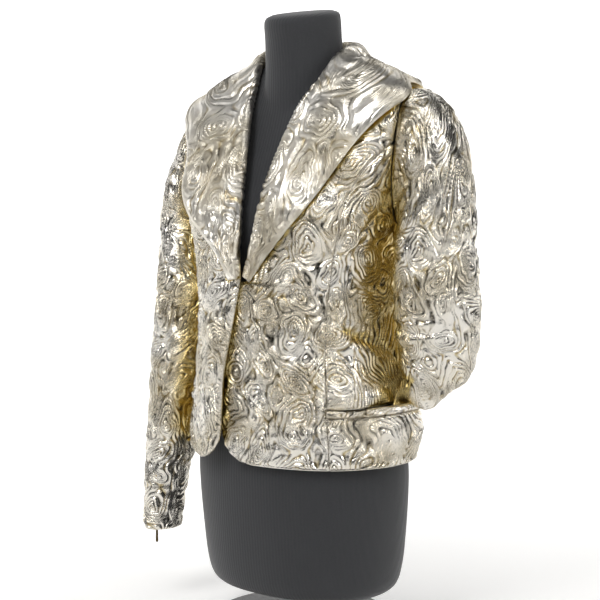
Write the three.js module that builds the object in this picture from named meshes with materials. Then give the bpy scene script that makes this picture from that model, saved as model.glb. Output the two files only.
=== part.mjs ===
// A quilted evening blazer with a wide shawl collar, worn over a limbless dress form on a low stand.
// Millimetres, +Z up. The wearer faces -Y and the wearer's left is +X. The origin is on the floor,
// under the middle of the stand. Angles round the body are in degrees from the centre front,
// positive towards the wearer's left, so +90 is the left side and 180 the centre back.
import * as THREE from "three";

// ---------------------------------------------------------------- driving dimensions
const CLOTH = 2.4; // plain cloth wall, under the quilting
const QUILT_RISE = 2.4; // height of a quilted puff above the plain cloth
const QUILT_PITCH = 54; // spacing of the puffs
const QUILT_FADE = 14; // how far from a seam the quilting reaches its full height
const SEAM_GAP = 0.35; // between two pieces at a seam

const BASE_RADIUS = 125;
const BASE_HEIGHT = 10;
const POST_RADIUS = 11;
const FORM_BOTTOM = 50;

const HEM = 245; // height of the jacket's hem
const POCKET = 328; // pocket seam in the side fronts
const WELT = 12; // height of the pocket welt
const BREAK = 497; // where the lapels start to roll
const UNDERARM = 561;
const JUNCTION = 684; // where the princess seam meets the armhole
const SHOULDER = 746; // top of the armhole
const NECK = 791; // neck seam at the side and back

const SIDE_SEAM = 103;
const SHOULDER_SEAM = 90;
const UNDERLAP = -16.5; // the left front's edge, past the centre front
const LAP_SHIFT = 5; // how far the right front laps over the left at the break, in degrees
const CORNER = { wide: 24, tall: 44 }; // the fronts' rounded lower corners, in degrees and mm

// Rings of the jacket's plain outer surface: half its width, how far it reaches forwards and
// back, and how square each ring is (2 is an ellipse).
const JACKET = track([
  { z: 225, half: 169, front: 132, back: 128, square: 2.2 },
  { z: 245, half: 168, front: 132, back: 127, square: 2.2 },
  { z: 300, half: 164, front: 132, back: 120, square: 2.2 },
  { z: 360, half: 152, front: 131, back: 110, square: 2.3 },
  { z: 420, half: 142, front: 130, back: 102, square: 2.4 },
  { z: 470, half: 142, front: 130, back: 100, square: 2.4 },
  { z: 500, half: 145, front: 127, back: 101, square: 2.4 },
  { z: 540, half: 151, front: 117, back: 103, square: 2.5 },
  { z: 600, half: 162, front: 106, back: 109, square: 2.7 },
  { z: 650, half: 176, front: 90, back: 113, square: 2.9 },
  { z: 700, half: 190, front: 69, back: 108, square: 3.0 },
  { z: 722, half: 191, front: 58, back: 102, square: 2.8 },
  { z: 742, half: 184, front: 46, back: 96, square: 2.5 },
  { z: 756, half: 159, front: 37, back: 90, square: 2.3 },
  { z: 770, half: 128, front: 28, back: 84, square: 2.2 },
  { z: 782, half: 101, front: 20, back: 79, square: 2.1 },
  { z: 793, half: 80, front: 13, back: 75, square: 2.0 },
  { z: 815, half: 72, front: 12, back: 72, square: 2.0 },
]);
const BUST = { angle: 38, z: 592, spread: 24, tall: 62, rise: 18 };

// The dress form: a smooth bust whose shoulders lie just under the jacket's, and its neck.
const FORM = track([
  { z: 50, half: 120, front: 84, back: 94, square: 2.2 },
  { z: 53, half: 131, front: 93, back: 103, square: 2.2 },
  { z: 62, half: 141, front: 101, back: 112, square: 2.2 },
  { z: 80, half: 147, front: 107, back: 118, square: 2.2 },
  { z: 115, half: 152, front: 112, back: 122, square: 2.2 },
  { z: 210, half: 160, front: 119, back: 121, square: 2.2 },
  { z: 260, half: 158, front: 118, back: 115, square: 2.2 },
  { z: 310, half: 149, front: 115, back: 104, square: 2.2 },
  { z: 360, half: 137, front: 110, back: 92, square: 2.2 },
  { z: 410, half: 125, front: 106, back: 82, square: 2.2 },
  { z: 450, half: 122, front: 104, back: 79, square: 2.2 },
  { z: 500, half: 128, front: 104, back: 81, square: 2.3 },
  { z: 545, half: 137, front: 101, back: 86, square: 2.4 },
  { z: 590, half: 146, front: 94, back: 92, square: 2.5 },
  { z: 630, half: 156, front: 80, back: 96, square: 2.7 },
  { z: 670, half: 166, front: 65, back: 96, square: 2.8 },
  { z: 700, half: 172, front: 54, back: 92, square: 2.8 },
  { z: 722, half: 173, front: 46, back: 85, square: 2.5 },
  { z: 738, half: 168, front: 38, back: 77, square: 2.3 },
  { z: 752, half: 155, front: 31, back: 70, square: 2.2 },
  { z: 766, half: 127, front: 23, back: 62, square: 2.1 },
  { z: 778, half: 99, front: 15, back: 54, square: 2.0 },
  { z: 788, half: 77, front: 8, back: 48, square: 2.0 },
  { z: 800, half: 40, front: 5, back: 30, square: 2.0 },
]);
const FORM_NECK = track([
  { z: 690, half: 58, front: 40, back: 60, square: 2 },
  { z: 740, half: 57, front: 46, back: 62, square: 2 },
  { z: 770, half: 56, front: 46, back: 60, square: 2 },
  { z: 800, half: 55, front: 48, back: 57, square: 2 },
  { z: 825, half: 54, front: 51, back: 54, square: 2 },
  { z: 850, half: 53, front: 55, back: 51, square: 2 },
  { z: 857, half: 50, front: 52, back: 48, square: 2 },
  { z: 860, half: 43, front: 45, back: 40, square: 2 },
]);
const FORM_ROWS = [
  50, 53, 62, 80, 115, 165, 215, 265, 315, 365, 410, 450, 495, 540, 575, 610, 645,
  675, 700, 722, 738, 752, 766, 778, 788, 800, 825, 850, 857, 860,
];
const FORM_BUST = { angle: 38, z: 590, spread: 22, tall: 52, rise: 14 };
const FORM_SIDES = 32;
const NECK_BLEND = 16; // how tightly the neck and the shoulders meet
const NECK_TILT = 0.12; // the neck's top rises this much for each millimetre towards the back

// The princess seam, from the hem up to the armhole.
const PRINCESS = track([
  { z: 225, angle: 53.5 },
  { z: 330, angle: 51.8 },
  { z: 430, angle: 52.2 },
  { z: 490, angle: 54 },
  { z: 560, angle: 57 },
  { z: 605, angle: 60.2 },
  { z: 637, angle: 66 },
  { z: 660, angle: 72.5 },
  { z: 684, angle: 81.2 },
]);

// The armhole: an upright oval whose lower end lies further back.
const ARMHOLE = { top: 92, half: 15.5, lean: 0.06 };

// The right front below the break swings away from the centre and stands off the left front.
const RIGHT_EDGE = track([
  { z: 225, angle: 10.5, off: 21 },
  { z: 330, angle: 9.8, off: 17 },
  { z: 370, angle: 9, off: 16 },
  { z: 414, angle: 5.7, off: 14 },
  { z: 457, angle: 1.6, off: 12 },
  { z: 497, angle: -0.4, off: 9 },
  { z: 540, angle: 5, off: 5 },
  { z: 600, angle: 9, off: 0 },
]);

// The collar, from the break (0) over the shoulder seam (1) to the centre back (2). The seam is
// where it joins the body, the roll the top of its fold, the edge its outer edge on the body,
// and lift and off how far the left and the right edge stand clear of the cloth below.
const COLLAR = [
  { s: 0, seam: 4.6, seamZ: 499, x: 6, y: -135, z: 505, edge: 7, edgeZ: 496, lift: 1, off: 1 },
  { s: 0.146, seam: 7.8, seamZ: 540, x: 11, y: -124, z: 542, edge: 17.5, edgeZ: 526, lift: 2, off: 4 },
  { s: 0.258, seam: 9.8, seamZ: 573, x: 14, y: -117, z: 575, edge: 26, edgeZ: 550, lift: 2, off: 8 },
  { s: 0.44, seam: 15, seamZ: 626, x: 22, y: -103, z: 629, edge: 38.5, edgeZ: 588, lift: 2, off: 14 },
  { s: 0.565, seam: 21.5, seamZ: 663, x: 30, y: -92, z: 666, edge: 48.3, edgeZ: 618, lift: 2, off: 16 },
  { s: 0.69, seam: 32, seamZ: 700, x: 40, y: -76, z: 705, edge: 57.8, edgeZ: 649, lift: 2, off: 13 },
  { s: 0.81, seam: 46, seamZ: 735, x: 51, y: -57, z: 742, edge: 66.7, edgeZ: 680, lift: 3, off: 8 },
  { s: 0.9, seam: 63, seamZ: 762, x: 60, y: -32, z: 770, edge: 74.5, edgeZ: 706, lift: 4, off: 5 },
  { s: 0.955, seam: 76, seamZ: 778, x: 67, y: -17, z: 790, edge: 82.5, edgeZ: 727, lift: 4, off: 4 },
  { s: 1, seam: 90, seamZ: 791, x: 71, y: -2, z: 804, edge: 92.5, edgeZ: 748, lift: 4, off: 4 },
  { s: 1.25, seam: 113, seamZ: 791, x: 67, y: 26, z: 812, edge: 112, edgeZ: 742, lift: 2, off: 2 },
  { s: 1.6, seam: 146, seamZ: 791, x: 42, y: 58, z: 816, edge: 143, edgeZ: 722, lift: 1, off: 1 },
  { s: 2, seam: 180, seamZ: 791, x: 0, y: 70, z: 817, edge: 180, edgeZ: 712, lift: 1, off: 1 },
];
const COLLAR_STATIONS = 40;
const COLLAR_WALL = 5; // two layers of quilted cloth
const COLLAR_STAND = 2.8; // one layer at the seam
const COLLAR_FOLD = { lapel: 3.6, neck: 6.5 }; // radius of the fold, in front and round the neck
const COLLAR_GAP = 0.55; // between the collar and the body at their seam
const COLLAR_CLEAR = 2.2; // from the plain cloth below to the collar's underside
const COLLAR_SHOULDER = 1.4; // more of it over the shoulder
const COLLAR_TIP = 0.8; // and the least of it, where the lapels end
const SEAM_RISE = 1; // the collar starts this far above the neck seam round the back

// Rings down each sleeve: the middle, half its width across (wide) and front to back (deep).
const LEFT_ARM = [
  { x: 220, y: 14, z: 548, wide: 48, deep: 59 },
  { x: 218, y: 20, z: 505, wide: 50.5, deep: 61 },
  { x: 214, y: 26, z: 465, wide: 54, deep: 62 },
  { x: 212, y: 32, z: 430, wide: 53, deep: 60 },
  { x: 210, y: 34, z: 398, wide: 48, deep: 54 },
  { x: 204, y: 30, z: 372, wide: 38, deep: 46 },
  { x: 186, y: 14, z: 351, wide: 17, deep: 37 },
  { x: 171.5, y: -1, z: 337, wide: 7.6, deep: 23.5 },
  { x: 169.5, y: -5, z: 326, wide: 7, deep: 21 },
  { x: 168, y: -8, z: 308, wide: 7, deep: 20 },
  { x: 167.5, y: -9, z: 292, wide: 7, deep: 20 },
];
const RIGHT_ARM = [
  { x: 212, y: 6, z: 548, wide: 43, deep: 54 },
  { x: 206, y: -3, z: 500, wide: 45, deep: 54 },
  { x: 202, y: -14, z: 447, wide: 44, deep: 53 },
  { x: 204, y: -28, z: 375, wide: 40, deep: 49 },
  { x: 208, y: -41, z: 300, wide: 35, deep: 42 },
  { x: 212, y: -52, z: 230, wide: 30, deep: 36 },
  { x: 214, y: -60, z: 170, wide: 25, deep: 32 },
  { x: 214.5, y: -66, z: 113, wide: 22, deep: 30 },
];
const RING_LEAN = 0.3; // how far the rings lean with the arm: 0 level, 1 square to it
const SLEEVE_SIDES = 24;
const HEAD_END = 548; // where the sleeve's head becomes a ring of its own
const HEAD_OUT = { left: 1.15, right: 0.3 }; // how strongly the head springs outwards
const HEAD_DOWN = 0.9; // and how strongly it hangs
const HEAD_INSET = 1.1; // from the armhole's edge, so that the facets of both stay apart
const ELBOW_FOLDS = [
  { z: 466, deep: 5 },
  { z: 438, deep: 6 },
  { z: 412, deep: 4 },
];

const SNAP = { angle: -4.3, z: 371, radius: 7.5, dome: 4.6, rise: 2.2 };
const ZIP = { turn: 24, length: 112, width: 11, thick: 1.6, clear: 0.9 };
const SLIDER = { length: 9, width: 7, thick: 3.7 };
const PULL = { length: 32, width: 3.6, thick: 1.4, clear: 0.4 };

// The shoulders are not level: the wearer's left one is carried higher than the right.
const TILT = { slope: 0.075, bend: -0.00019, from: 590, full: 740 };

// ---------------------------------------------------------------- small tools
const rad = THREE.MathUtils.degToRad;
const mix = THREE.MathUtils.lerp;
const clamp = THREE.MathUtils.clamp;
const vec = (x, y, z) => new THREE.Vector3(x, y, z);
const hill = (x, middle, width) => Math.exp(-(((x - middle) / width) ** 2));
const upTo = (count) => Array.from({ length: count + 1 }, (_, i) => i);

// Goes smoothly from 0 at one value to 1 at the other, whichever is the larger.
function ease(x, from, to) {
  const t = clamp((x - from) / (to - from), 0, 1);
  return t * t * (3 - 2 * t);
}

// A table read between its rows on a smooth curve: track(rows)(z) gives every other column at z.
function track(rows, by = "z") {
  const columns = Object.keys(rows[0]).filter((name) => name !== by);
  const slope = (name, i) => {
    const before = rows[Math.max(i - 1, 0)];
    const after = rows[Math.min(i + 1, rows.length - 1)];
    return (after[name] - before[name]) / (after[by] - before[by]);
  };
  return (at) => {
    let i = 0;
    while (i < rows.length - 2 && (at - rows[i + 1][by]) * (rows[1][by] - rows[0][by]) > 0) i += 1;
    const [a, b] = [rows[i], rows[i + 1]];
    const span = b[by] - a[by];
    const t = clamp((at - a[by]) / span, 0, 1);
    const found = {};
    for (const name of columns) {
      const start = a[name] * (1 + 2 * t) * (1 - t) ** 2 + slope(name, i) * span * t * (1 - t) ** 2;
      const end = b[name] * t * t * (3 - 2 * t) - slope(name, i + 1) * span * t * t * (1 - t);
      found[name] = start + end;
    }
    return found;
  };
}

// The distance from the axis to an oval ring, in the direction of an angle.
function reach(ring, angle) {
  const across = Math.abs(Math.sin(rad(angle)) / ring.half);
  const along = Math.abs(Math.cos(rad(angle)) / (Math.cos(rad(angle)) > 0 ? ring.front : ring.back));
  return (across ** ring.square + along ** ring.square) ** (-1 / ring.square);
}

const bump = (b, angle, z) => b.rise * hill(Math.abs(angle), b.angle, b.spread) * hill(z, b.z, b.tall);
const onRay = (angle, far, z) => vec(far * Math.sin(rad(angle)), -far * Math.cos(rad(angle)), z);

// ---------------------------------------------------------------- the jacket's surface
function skin(angle, z, out = 0) {
  const turn = angle > 180 ? angle - 360 : angle;
  const at = onRay(turn, reach(JACKET(z), turn) + bump(BUST, turn, z), z);
  return out === 0 ? at : at.addScaledVector(normal(angle, z), out);
}

function normal(angle, z) {
  const round = skin(angle + 0.2, z).sub(skin(angle - 0.2, z));
  const up = skin(angle, z + 0.5).sub(skin(angle, z - 0.5));
  return round.cross(up).normalize();
}

// The cuff in the left pocket pushes the welt and the cloth below it outwards, and in front of
// the cuff the cloth above the pocket bulges over the welt.
const aboveCuff = (angle, z) => 15 * hill(angle, 64, 9) * ease(z, 410, 345);
const belowCuff = (angle, z) => {
  const pushed = 7 * hill(angle, 62, 12) + 28 * Math.exp(-(((angle - 90) / 17) ** 4));
  return pushed * ease(z, 205, 312) * ease(z, 380, 334);
};
const hip = (angle, z) => mix(belowCuff(angle, z), aboveCuff(angle, z), ease(z, POCKET - 12, POCKET + 12));

// Below the break the right front stands off the left one.
const standOff = (angle, z) => RIGHT_EDGE(z).off * ease(angle, -51, -14);

// Puffs of quilting: a loose honeycomb of pillows with a crease where two of them meet.
function puff(u, v) {
  const row = Math.round(v / (QUILT_PITCH * 0.87));
  let [near, next] = [1e9, 1e9];
  for (let j = row - 2; j <= row + 2; j += 1) {
    const first = Math.round(u / QUILT_PITCH - 0.5 * (j & 1));
    for (let i = first - 2; i <= first + 2; i += 1) {
      const x = (i + 0.5 * (j & 1) + 0.26 * Math.sin(12.9 * i + 78.2 * j)) * QUILT_PITCH;
      const y = (0.87 * j + 0.24 * Math.sin(39.3 * i + 11.1 * j)) * QUILT_PITCH;
      const away = Math.hypot(u - x, v - y);
      if (away < near) [near, next] = [away, near];
      else if (away < next) next = away;
    }
  }
  return clamp((next - near) / (0.55 * QUILT_PITCH), 0, 1) ** 0.7;
}

// ---------------------------------------------------------------- closed walls from grids
function meshOf(points, faces) {
  const geometry = new THREE.BufferGeometry();
  const places = points.flatMap((p) => p.toArray());
  geometry.setAttribute("position", new THREE.Float32BufferAttribute(places, 3));
  geometry.setIndex(faces.flat());
  return geometry;
}

// A sheet of cloth: a fine outer grid and an inner one with every second row and column, joined
// round the rim. Columns run to the right and rows upwards, seen from outside.
function sheet(rows, columns, outerAt, innerAt) {
  const points = [];
  const faces = [];
  const add = (p) => points.push(p) - 1;
  const line = (count, at) => upTo(count).map((i) => add(at(i / count)));
  const outer = upTo(rows).map((j) => line(columns, (u) => outerAt(u, j / rows)));
  const inner = upTo(rows / 2).map((j) => line(columns / 2, (u) => innerAt(u, (2 * j) / rows)));
  const cells = (grid, flip) => {
    for (let j = 0; j < grid.length - 1; j += 1) {
      for (let i = 0; i < grid[0].length - 1; i += 1) {
        const [a, b, c, d] = [grid[j][i], grid[j][i + 1], grid[j + 1][i + 1], grid[j + 1][i]];
        faces.push(...(flip ? [[a, c, b], [a, d, c]] : [[a, b, c], [a, c, d]]));
      }
    }
  };
  cells(outer, false);
  cells(inner, true);
  const rim = (edge, under, flip) => {
    for (let k = 0; k < under.length - 1; k += 1) {
      const [a, b, c, p, q] = [edge[2 * k], edge[2 * k + 1], edge[2 * k + 2], under[k], under[k + 1]];
      const strip = [[a, p, b], [b, p, q], [b, q, c]];
      faces.push(...(flip ? strip.map(([x, y, z]) => [x, z, y]) : strip));
    }
  };
  const side = (grid, last) => grid.map((row) => row[last ? row.length - 1 : 0]);
  rim(outer[0], inner[0], false);
  rim(outer[rows], inner[rows / 2], true);
  rim(side(outer, false), side(inner, false), true);
  rim(side(outer, true), side(inner, true), false);
  return meshOf(points, faces);
}

// A tube of cloth, open at both ends: the sheet's left and right edges run into each other.
function tube(rows, sides, outerAt, innerAt) {
  const points = [];
  const faces = [];
  const add = (p) => points.push(p) - 1;
  const ring = (count, at) => Array.from({ length: count }, (_, i) => add(at(i / count)));
  const outer = upTo(rows).map((j) => ring(sides, (u) => outerAt(u, j / rows)));
  const inner = upTo(rows / 2).map((j) => ring(sides / 2, (u) => innerAt(u, (2 * j) / rows)));
  const cells = (grid, flip) => {
    const count = grid[0].length;
    for (let j = 0; j < grid.length - 1; j += 1) {
      for (let i = 0; i < count; i += 1) {
        const n = (i + 1) % count;
        const [a, b, c, d] = [grid[j][i], grid[j][n], grid[j + 1][n], grid[j + 1][i]];
        faces.push(...(flip ? [[a, c, b], [a, d, c]] : [[a, b, c], [a, c, d]]));
      }
    }
  };
  cells(outer, false);
  cells(inner, true);
  const rim = (edge, under, flip) => {
    for (let k = 0; k < under.length; k += 1) {
      const [a, b, c] = [edge[2 * k], edge[2 * k + 1], edge[(2 * k + 2) % edge.length]];
      const [p, q] = [under[k], under[(k + 1) % under.length]];
      const strip = [[a, p, b], [b, p, q], [b, q, c]];
      faces.push(...(flip ? strip.map(([x, y, z]) => [x, z, y]) : strip));
    }
  };
  rim(outer[0], inner[0], false);
  rim(outer[rows], inner[rows / 2], true);
  return meshOf(points, faces);
}

// A solid through closed loops of points. Each loop's first half faces its second half, run
// backwards, and the caps at both ends span the two.
function loft(loops) {
  const count = loops[0].length;
  const faces = [];
  for (let j = 0; j < loops.length - 1; j += 1) {
    for (let i = 0; i < count; i += 1) {
      const n = (i + 1) % count;
      const [a, b, c, d] = [j * count + i, j * count + n, (j + 1) * count + n, (j + 1) * count + i];
      faces.push([a, b, c], [a, c, d]);
    }
  }
  const cap = (start, flip) => {
    for (let i = 0; i < count / 2 - 1; i += 1) {
      const [a, b, c, d] = [start + i, start + i + 1, start + count - 2 - i, start + count - 1 - i];
      faces.push(...(flip ? [[a, c, b], [a, d, c]] : [[a, b, c], [a, c, d]]));
    }
  };
  cap(0, true);
  cap((loops.length - 1) * count, false);
  return meshOf(loops.flat(), faces);
}

// Mirrored from the wearer's left to the right.
function mirrored(geometry) {
  geometry.scale(-1, 1, 1);
  return facingOut(geometry);
}

// Turns a closed mesh's faces outwards.
function facingOut(geometry) {
  const [index, at] = [geometry.getIndex(), geometry.getAttribute("position")];
  const corner = (k) => vec().fromBufferAttribute(at, index.getX(k));
  let volume = 0;
  for (let k = 0; k < index.count; k += 3) volume += corner(k).dot(corner(k + 1).cross(corner(k + 2)));
  if (volume > 0) return geometry;
  for (let k = 0; k < index.count; k += 3) {
    const second = index.getX(k + 1);
    index.setX(k + 1, index.getX(k + 2));
    index.setX(k + 2, second);
  }
  return geometry;
}

// ---------------------------------------------------------------- body panels
const armMiddle = (z) => ARMHOLE.top + ARMHOLE.lean * (SHOULDER - z);
const armSpread = (z) => {
  const t = (2 * z - SHOULDER - UNDERARM) / (SHOULDER - UNDERARM);
  return ARMHOLE.half * Math.sqrt(Math.max(0, 1 - t * t));
};

const SEAMS = track(COLLAR.filter((row) => row.s <= 1).map((row) => ({ z: row.seamZ, angle: row.seam })));
const princess = (z) => PRINCESS(z).angle;

// The angles of each seam and edge on the wearer's left, and mirrored on the right.
function frontEdge(z, side) {
  const low = clamp((HEM + CORNER.tall - z) / CORNER.tall, 0, 1);
  const corner = CORNER.wide * (1 - Math.sqrt(1 - low * low));
  if (side < 0 && z < BREAK) return RIGHT_EDGE(z).angle + corner;
  if (side < 0) return SEAMS(z).angle - LAP_SHIFT * ease(z, 545, BREAK);
  return mix(UNDERLAP + corner, SEAMS(z).angle, ease(z, BREAK - 12, BREAK));
}

function frontOuter(z) {
  if (z < JUNCTION) return princess(z);
  return z < SHOULDER ? armMiddle(z) - armSpread(z) : SHOULDER_SEAM;
}

function backOuter(z) {
  if (z < UNDERARM) return SIDE_SEAM;
  return z < SHOULDER ? armMiddle(z) + armSpread(z) : SHOULDER_SEAM;
}

const sideOuter = (z) => (z < UNDERARM ? SIDE_SEAM : armMiddle(z) - armSpread(z));

// A body panel between two edges, given as angles at the height of each row.
function panel({ rows, columns, from, to, side = 1, offset = () => 0, flat = () => 1 }) {
  const [low, high] = [rows[0], rows.at(-1)];
  const place = (across, v, outside) => {
    const z = rows[Math.round(v * (rows.length - 1))];
    const u = side > 0 ? across : 1 - across;
    const [start, end] = [from(z), to(z)];
    const gap = THREE.MathUtils.radToDeg(SEAM_GAP / 2 / reach(JACKET(z), start));
    const angle = side * mix(start + gap, end - gap, u);
    const wide = rad(end - start) * reach(JACKET(z), (start + end) / 2);
    const edge = Math.min(u * wide, (1 - u) * wide, z - low, high - z);
    const cover = angle > 180 ? 360 - angle : angle;
    const quilt = puff(angle * 2.6, z) * ease(edge, 0, QUILT_FADE) * flat(angle, z) * openCloth(cover, z);
    return skin(angle, z, offset(angle, z) + (outside ? QUILT_RISE * quilt : -CLOTH));
  };
  return sheet(rows.length - 1, columns, (u, v) => place(u, v, true), (u, v) => place(u, v, false));
}

// The heights of a full-length panel's rows, with an even number of steps to each change in its
// edges; the side panels share those they reach.
const rowsBetween = (low, high, count) => upTo(count - 1).map((i) => mix(low, high, i / count));
const TALL = [
  ...rowsBetween(HEM, POCKET, 6),
  ...rowsBetween(POCKET, BREAK, 12),
  ...rowsBetween(BREAK, UNDERARM, 4),
  ...rowsBetween(UNDERARM, SHOULDER, 12),
  ...rowsBetween(SHOULDER, NECK, 6),
  NECK,
];
const SIDE_ROWS = [...TALL.filter((z) => z >= POCKET && z < JUNCTION - 5), JUNCTION - 5];
const LOWER_TOP = POCKET - WELT - SEAM_GAP;
const LOWER_ROWS = [...TALL.slice(0, 5), mix(TALL[4], LOWER_TOP, 0.5), LOWER_TOP];

const awayFromSnap = (angle, z) => ease(Math.hypot((angle - SNAP.angle) * 2.3, z - SNAP.z), 16, 30);
const OUTER_EDGE = track(COLLAR.map((row) => ({ angle: row.edge, z: row.edgeZ })), "angle");
const openCloth = (angle, z) => 1 - ease(z - OUTER_EDGE(Math.abs(angle)).z, -4, 10);

const back = () =>
  panel({ rows: TALL, columns: 20, from: backOuter, to: (z) => 360 - backOuter(z), offset: belowCuff });

const frontCentre = (side) =>
  panel({
    rows: TALL,
    columns: 10,
    side,
    from: (z) => frontEdge(z, side),
    to: frontOuter,
    offset: side < 0 ? standOff : hip,
    flat: side < 0 ? undefined : awayFromSnap,
  });

const frontSide = (side) =>
  panel({ rows: SIDE_ROWS, columns: 10, side, from: princess, to: sideOuter, offset: aboveCuff });

const frontLower = (side) =>
  panel({ rows: LOWER_ROWS, columns: 10, side, from: princess, to: () => SIDE_SEAM, offset: belowCuff });

// The welt, a folded strip that stands a little proud along the pocket.
function welt(side) {
  const proud = (v) => 2 + 2 * Math.sin(Math.PI * v);
  const [low, high] = [POCKET - WELT, POCKET - SEAM_GAP];
  const place = (across, v, outside) => {
    const z = mix(low, high, v);
    const u = side > 0 ? across : 1 - across;
    const angle = side * mix(princess(z) + 0.1, SIDE_SEAM - 0.1, u);
    return skin(angle, z, belowCuff(angle, z) + (outside ? proud(v) : -CLOTH));
  };
  return sheet(2, 12, (u, v) => place(u, v, true), (u, v) => place(u, v, false));
}

// ---------------------------------------------------------------- collar
const collarAt = track(COLLAR, "s");
const FALL = [0.12, 0.26, 0.42, 0.58, 0.72, 0.84, 0.94, 1]; // places from the fold to the edge

// One section through the collar: up the stand, over the fold and down the fall, then back
// underneath. It is worked out on the wearer's left and mirrored on the right.
function collarLoop(s, side) {
  const row = collarAt(s);
  const shift = side < 0 ? LAP_SHIFT * ease(row.seamZ, 545, BREAK) : 0;
  const thick = mix(0.5, 1, ease(s, 0, 0.2));
  const off = (angle, z) => (side < 0 ? standOff(-angle, z) : 0);
  const onFall = (v) => {
    const [angle, z] = [mix(row.seam - shift, row.edge, v), mix(row.seamZ, row.edgeZ, v)];
    const least = COLLAR_CLEAR + COLLAR_SHOULDER * hill(s, 0.97, 0.1);
    const clear = (side < 0 ? row.off : row.lift) * ease(v, 0.1, 1) + least * thick;
    const out = COLLAR_TIP + clear + (COLLAR_WALL / 2) * thick + off(angle, z);
    return { at: skin(angle, z, out), out: normal(angle, z) };
  };
  const rise = SEAM_RISE * ease(row.seamZ, NECK - 12, NECK - 1);
  const radius = reach(JACKET(row.seamZ), row.seam);
  const beside = (gap) => row.seam - shift - THREE.MathUtils.radToDeg(gap / radius);
  const lift = off(beside(COLLAR_GAP), row.seamZ);
  const foot = (gap) => skin(beside(gap), row.seamZ + rise, lift - CLOTH / 2);
  const roll = vec(row.x - rad(shift) * 130, row.y - lift, row.z);
  const up = roll.clone().sub(foot(COLLAR_GAP)).normalize();
  const face = normal(row.seam, row.seamZ);
  const away = face.addScaledVector(up, -face.dot(up)).normalize();
  const turned = Math.max(0, away.dot(onRay(row.seam + 90, 1, 0)));
  const stand = (COLLAR_STAND / 2) * thick;
  const seam = foot(COLLAR_GAP + turned * stand + 1 - thick);
  const fold = mix(COLLAR_FOLD.lapel, COLLAR_FOLD.neck, ease(s, 0.85, 1.3)) * thick;
  const near = roll.clone().addScaledVector(away, -fold).addScaledVector(up, -fold);
  const far = roll.clone().addScaledVector(away, fold).addScaledVector(up, -fold);
  const back = away.clone().negate();
  const path = [
    { at: seam, out: back, half: stand },
    { at: near, out: back, half: stand },
    { at: roll, out: up, half: stand },
    { at: far, out: away, half: (COLLAR_WALL / 2) * thick },
    ...FALL.map((v) => ({ ...onFall(v), half: thick * (v < 1 ? COLLAR_WALL / 2 : COLLAR_WALL / 3), v })),
  ];
  const ends = ease(s, 0, 0.12) * ease(2 - s, 0, 0.1);
  const top = path.map((p) => {
    const quilt = p.v ? QUILT_RISE * puff(s * 230, p.v * 90) * ease(1 - p.v, 0, 0.15) * ends : 0;
    return p.at.clone().addScaledVector(p.out, p.half + quilt);
  });
  return [...top, ...path.reverse().map((p) => p.at.clone().addScaledVector(p.out, -p.half))];
}

function collar(side) {
  const last = 2 - SEAM_GAP / 200;
  const loops = upTo(COLLAR_STATIONS).map((i) => collarLoop((last * i) / COLLAR_STATIONS, side));
  const geometry = loft(loops);
  return side > 0 ? facingOut(geometry) : mirrored(geometry);
}

// ---------------------------------------------------------------- sleeves
// turn goes round a sleeve: 0 on the outside of the arm, 90 at the back, 180 towards the body.
function armFrame(arm, z) {
  const ring = arm(z);
  const [above, below] = [arm(z + 2), arm(z - 2)];
  const down = vec(RING_LEAN * (below.x - above.x), RING_LEAN * (below.y - above.y), -4).normalize();
  const across = vec(1, 0, 0).addScaledVector(down, -down.x).normalize();
  return { ...ring, down, across, along: across.clone().cross(down), middle: vec(ring.x, ring.y, z) };
}

function armPoint(arm, turn, z, out) {
  const ring = armFrame(arm, z);
  return ring.middle
    .clone()
    .addScaledVector(ring.across, (ring.wide + out) * Math.cos(rad(turn)))
    .addScaledVector(ring.along, (ring.deep + out) * Math.sin(rad(turn)));
}

// The armhole's half width as the panels' rows cut it, straight between one row and the next.
function holeSpread(z) {
  const i = clamp(TALL.findIndex((row) => row > z), 1, TALL.length - 1);
  return mix(armSpread(TALL[i - 1]), armSpread(TALL[i]), (z - TALL[i - 1]) / (TALL[i] - TALL[i - 1]));
}

// The sleeve's head springs from just inside the armhole and bends down into the arm.
function headPoint(arm, turn, t, out, spring) {
  const z = mix(UNDERARM, SHOULDER, 0.5 + 0.5 * Math.cos(rad(turn)));
  const inset = HEAD_INSET - out;
  const tall = (SHOULDER - UNDERARM) / 2;
  const inZ = z - (inset * Math.cos(rad(turn)) * (tall - inset)) / tall;
  const beside = Math.max(0, holeSpread(inZ) - inset / 2.8) * Math.sign(Math.sin(rad(turn)));
  const inAngle = armMiddle(inZ) + (Math.abs(Math.sin(rad(turn))) < 1e-6 ? 0 : beside);
  const start = skin(inAngle, inZ, -CLOTH / 2);
  const leave = normal(inAngle, inZ).multiplyScalar(0.4).add(vec(0.6, 0, -0.05)).normalize();
  const end = armPoint(arm, turn, HEAD_END, out);
  const span = end.distanceTo(start);
  const down = armFrame(arm, HEAD_END).down;
  return start
    .clone()
    .multiplyScalar((1 + 2 * t) * (1 - t) ** 2)
    .addScaledVector(leave, spring * span * t * (1 - t) ** 2)
    .addScaledVector(end, t * t * (3 - 2 * t))
    .addScaledVector(down, -HEAD_DOWN * span * t * t * (1 - t));
}

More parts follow.
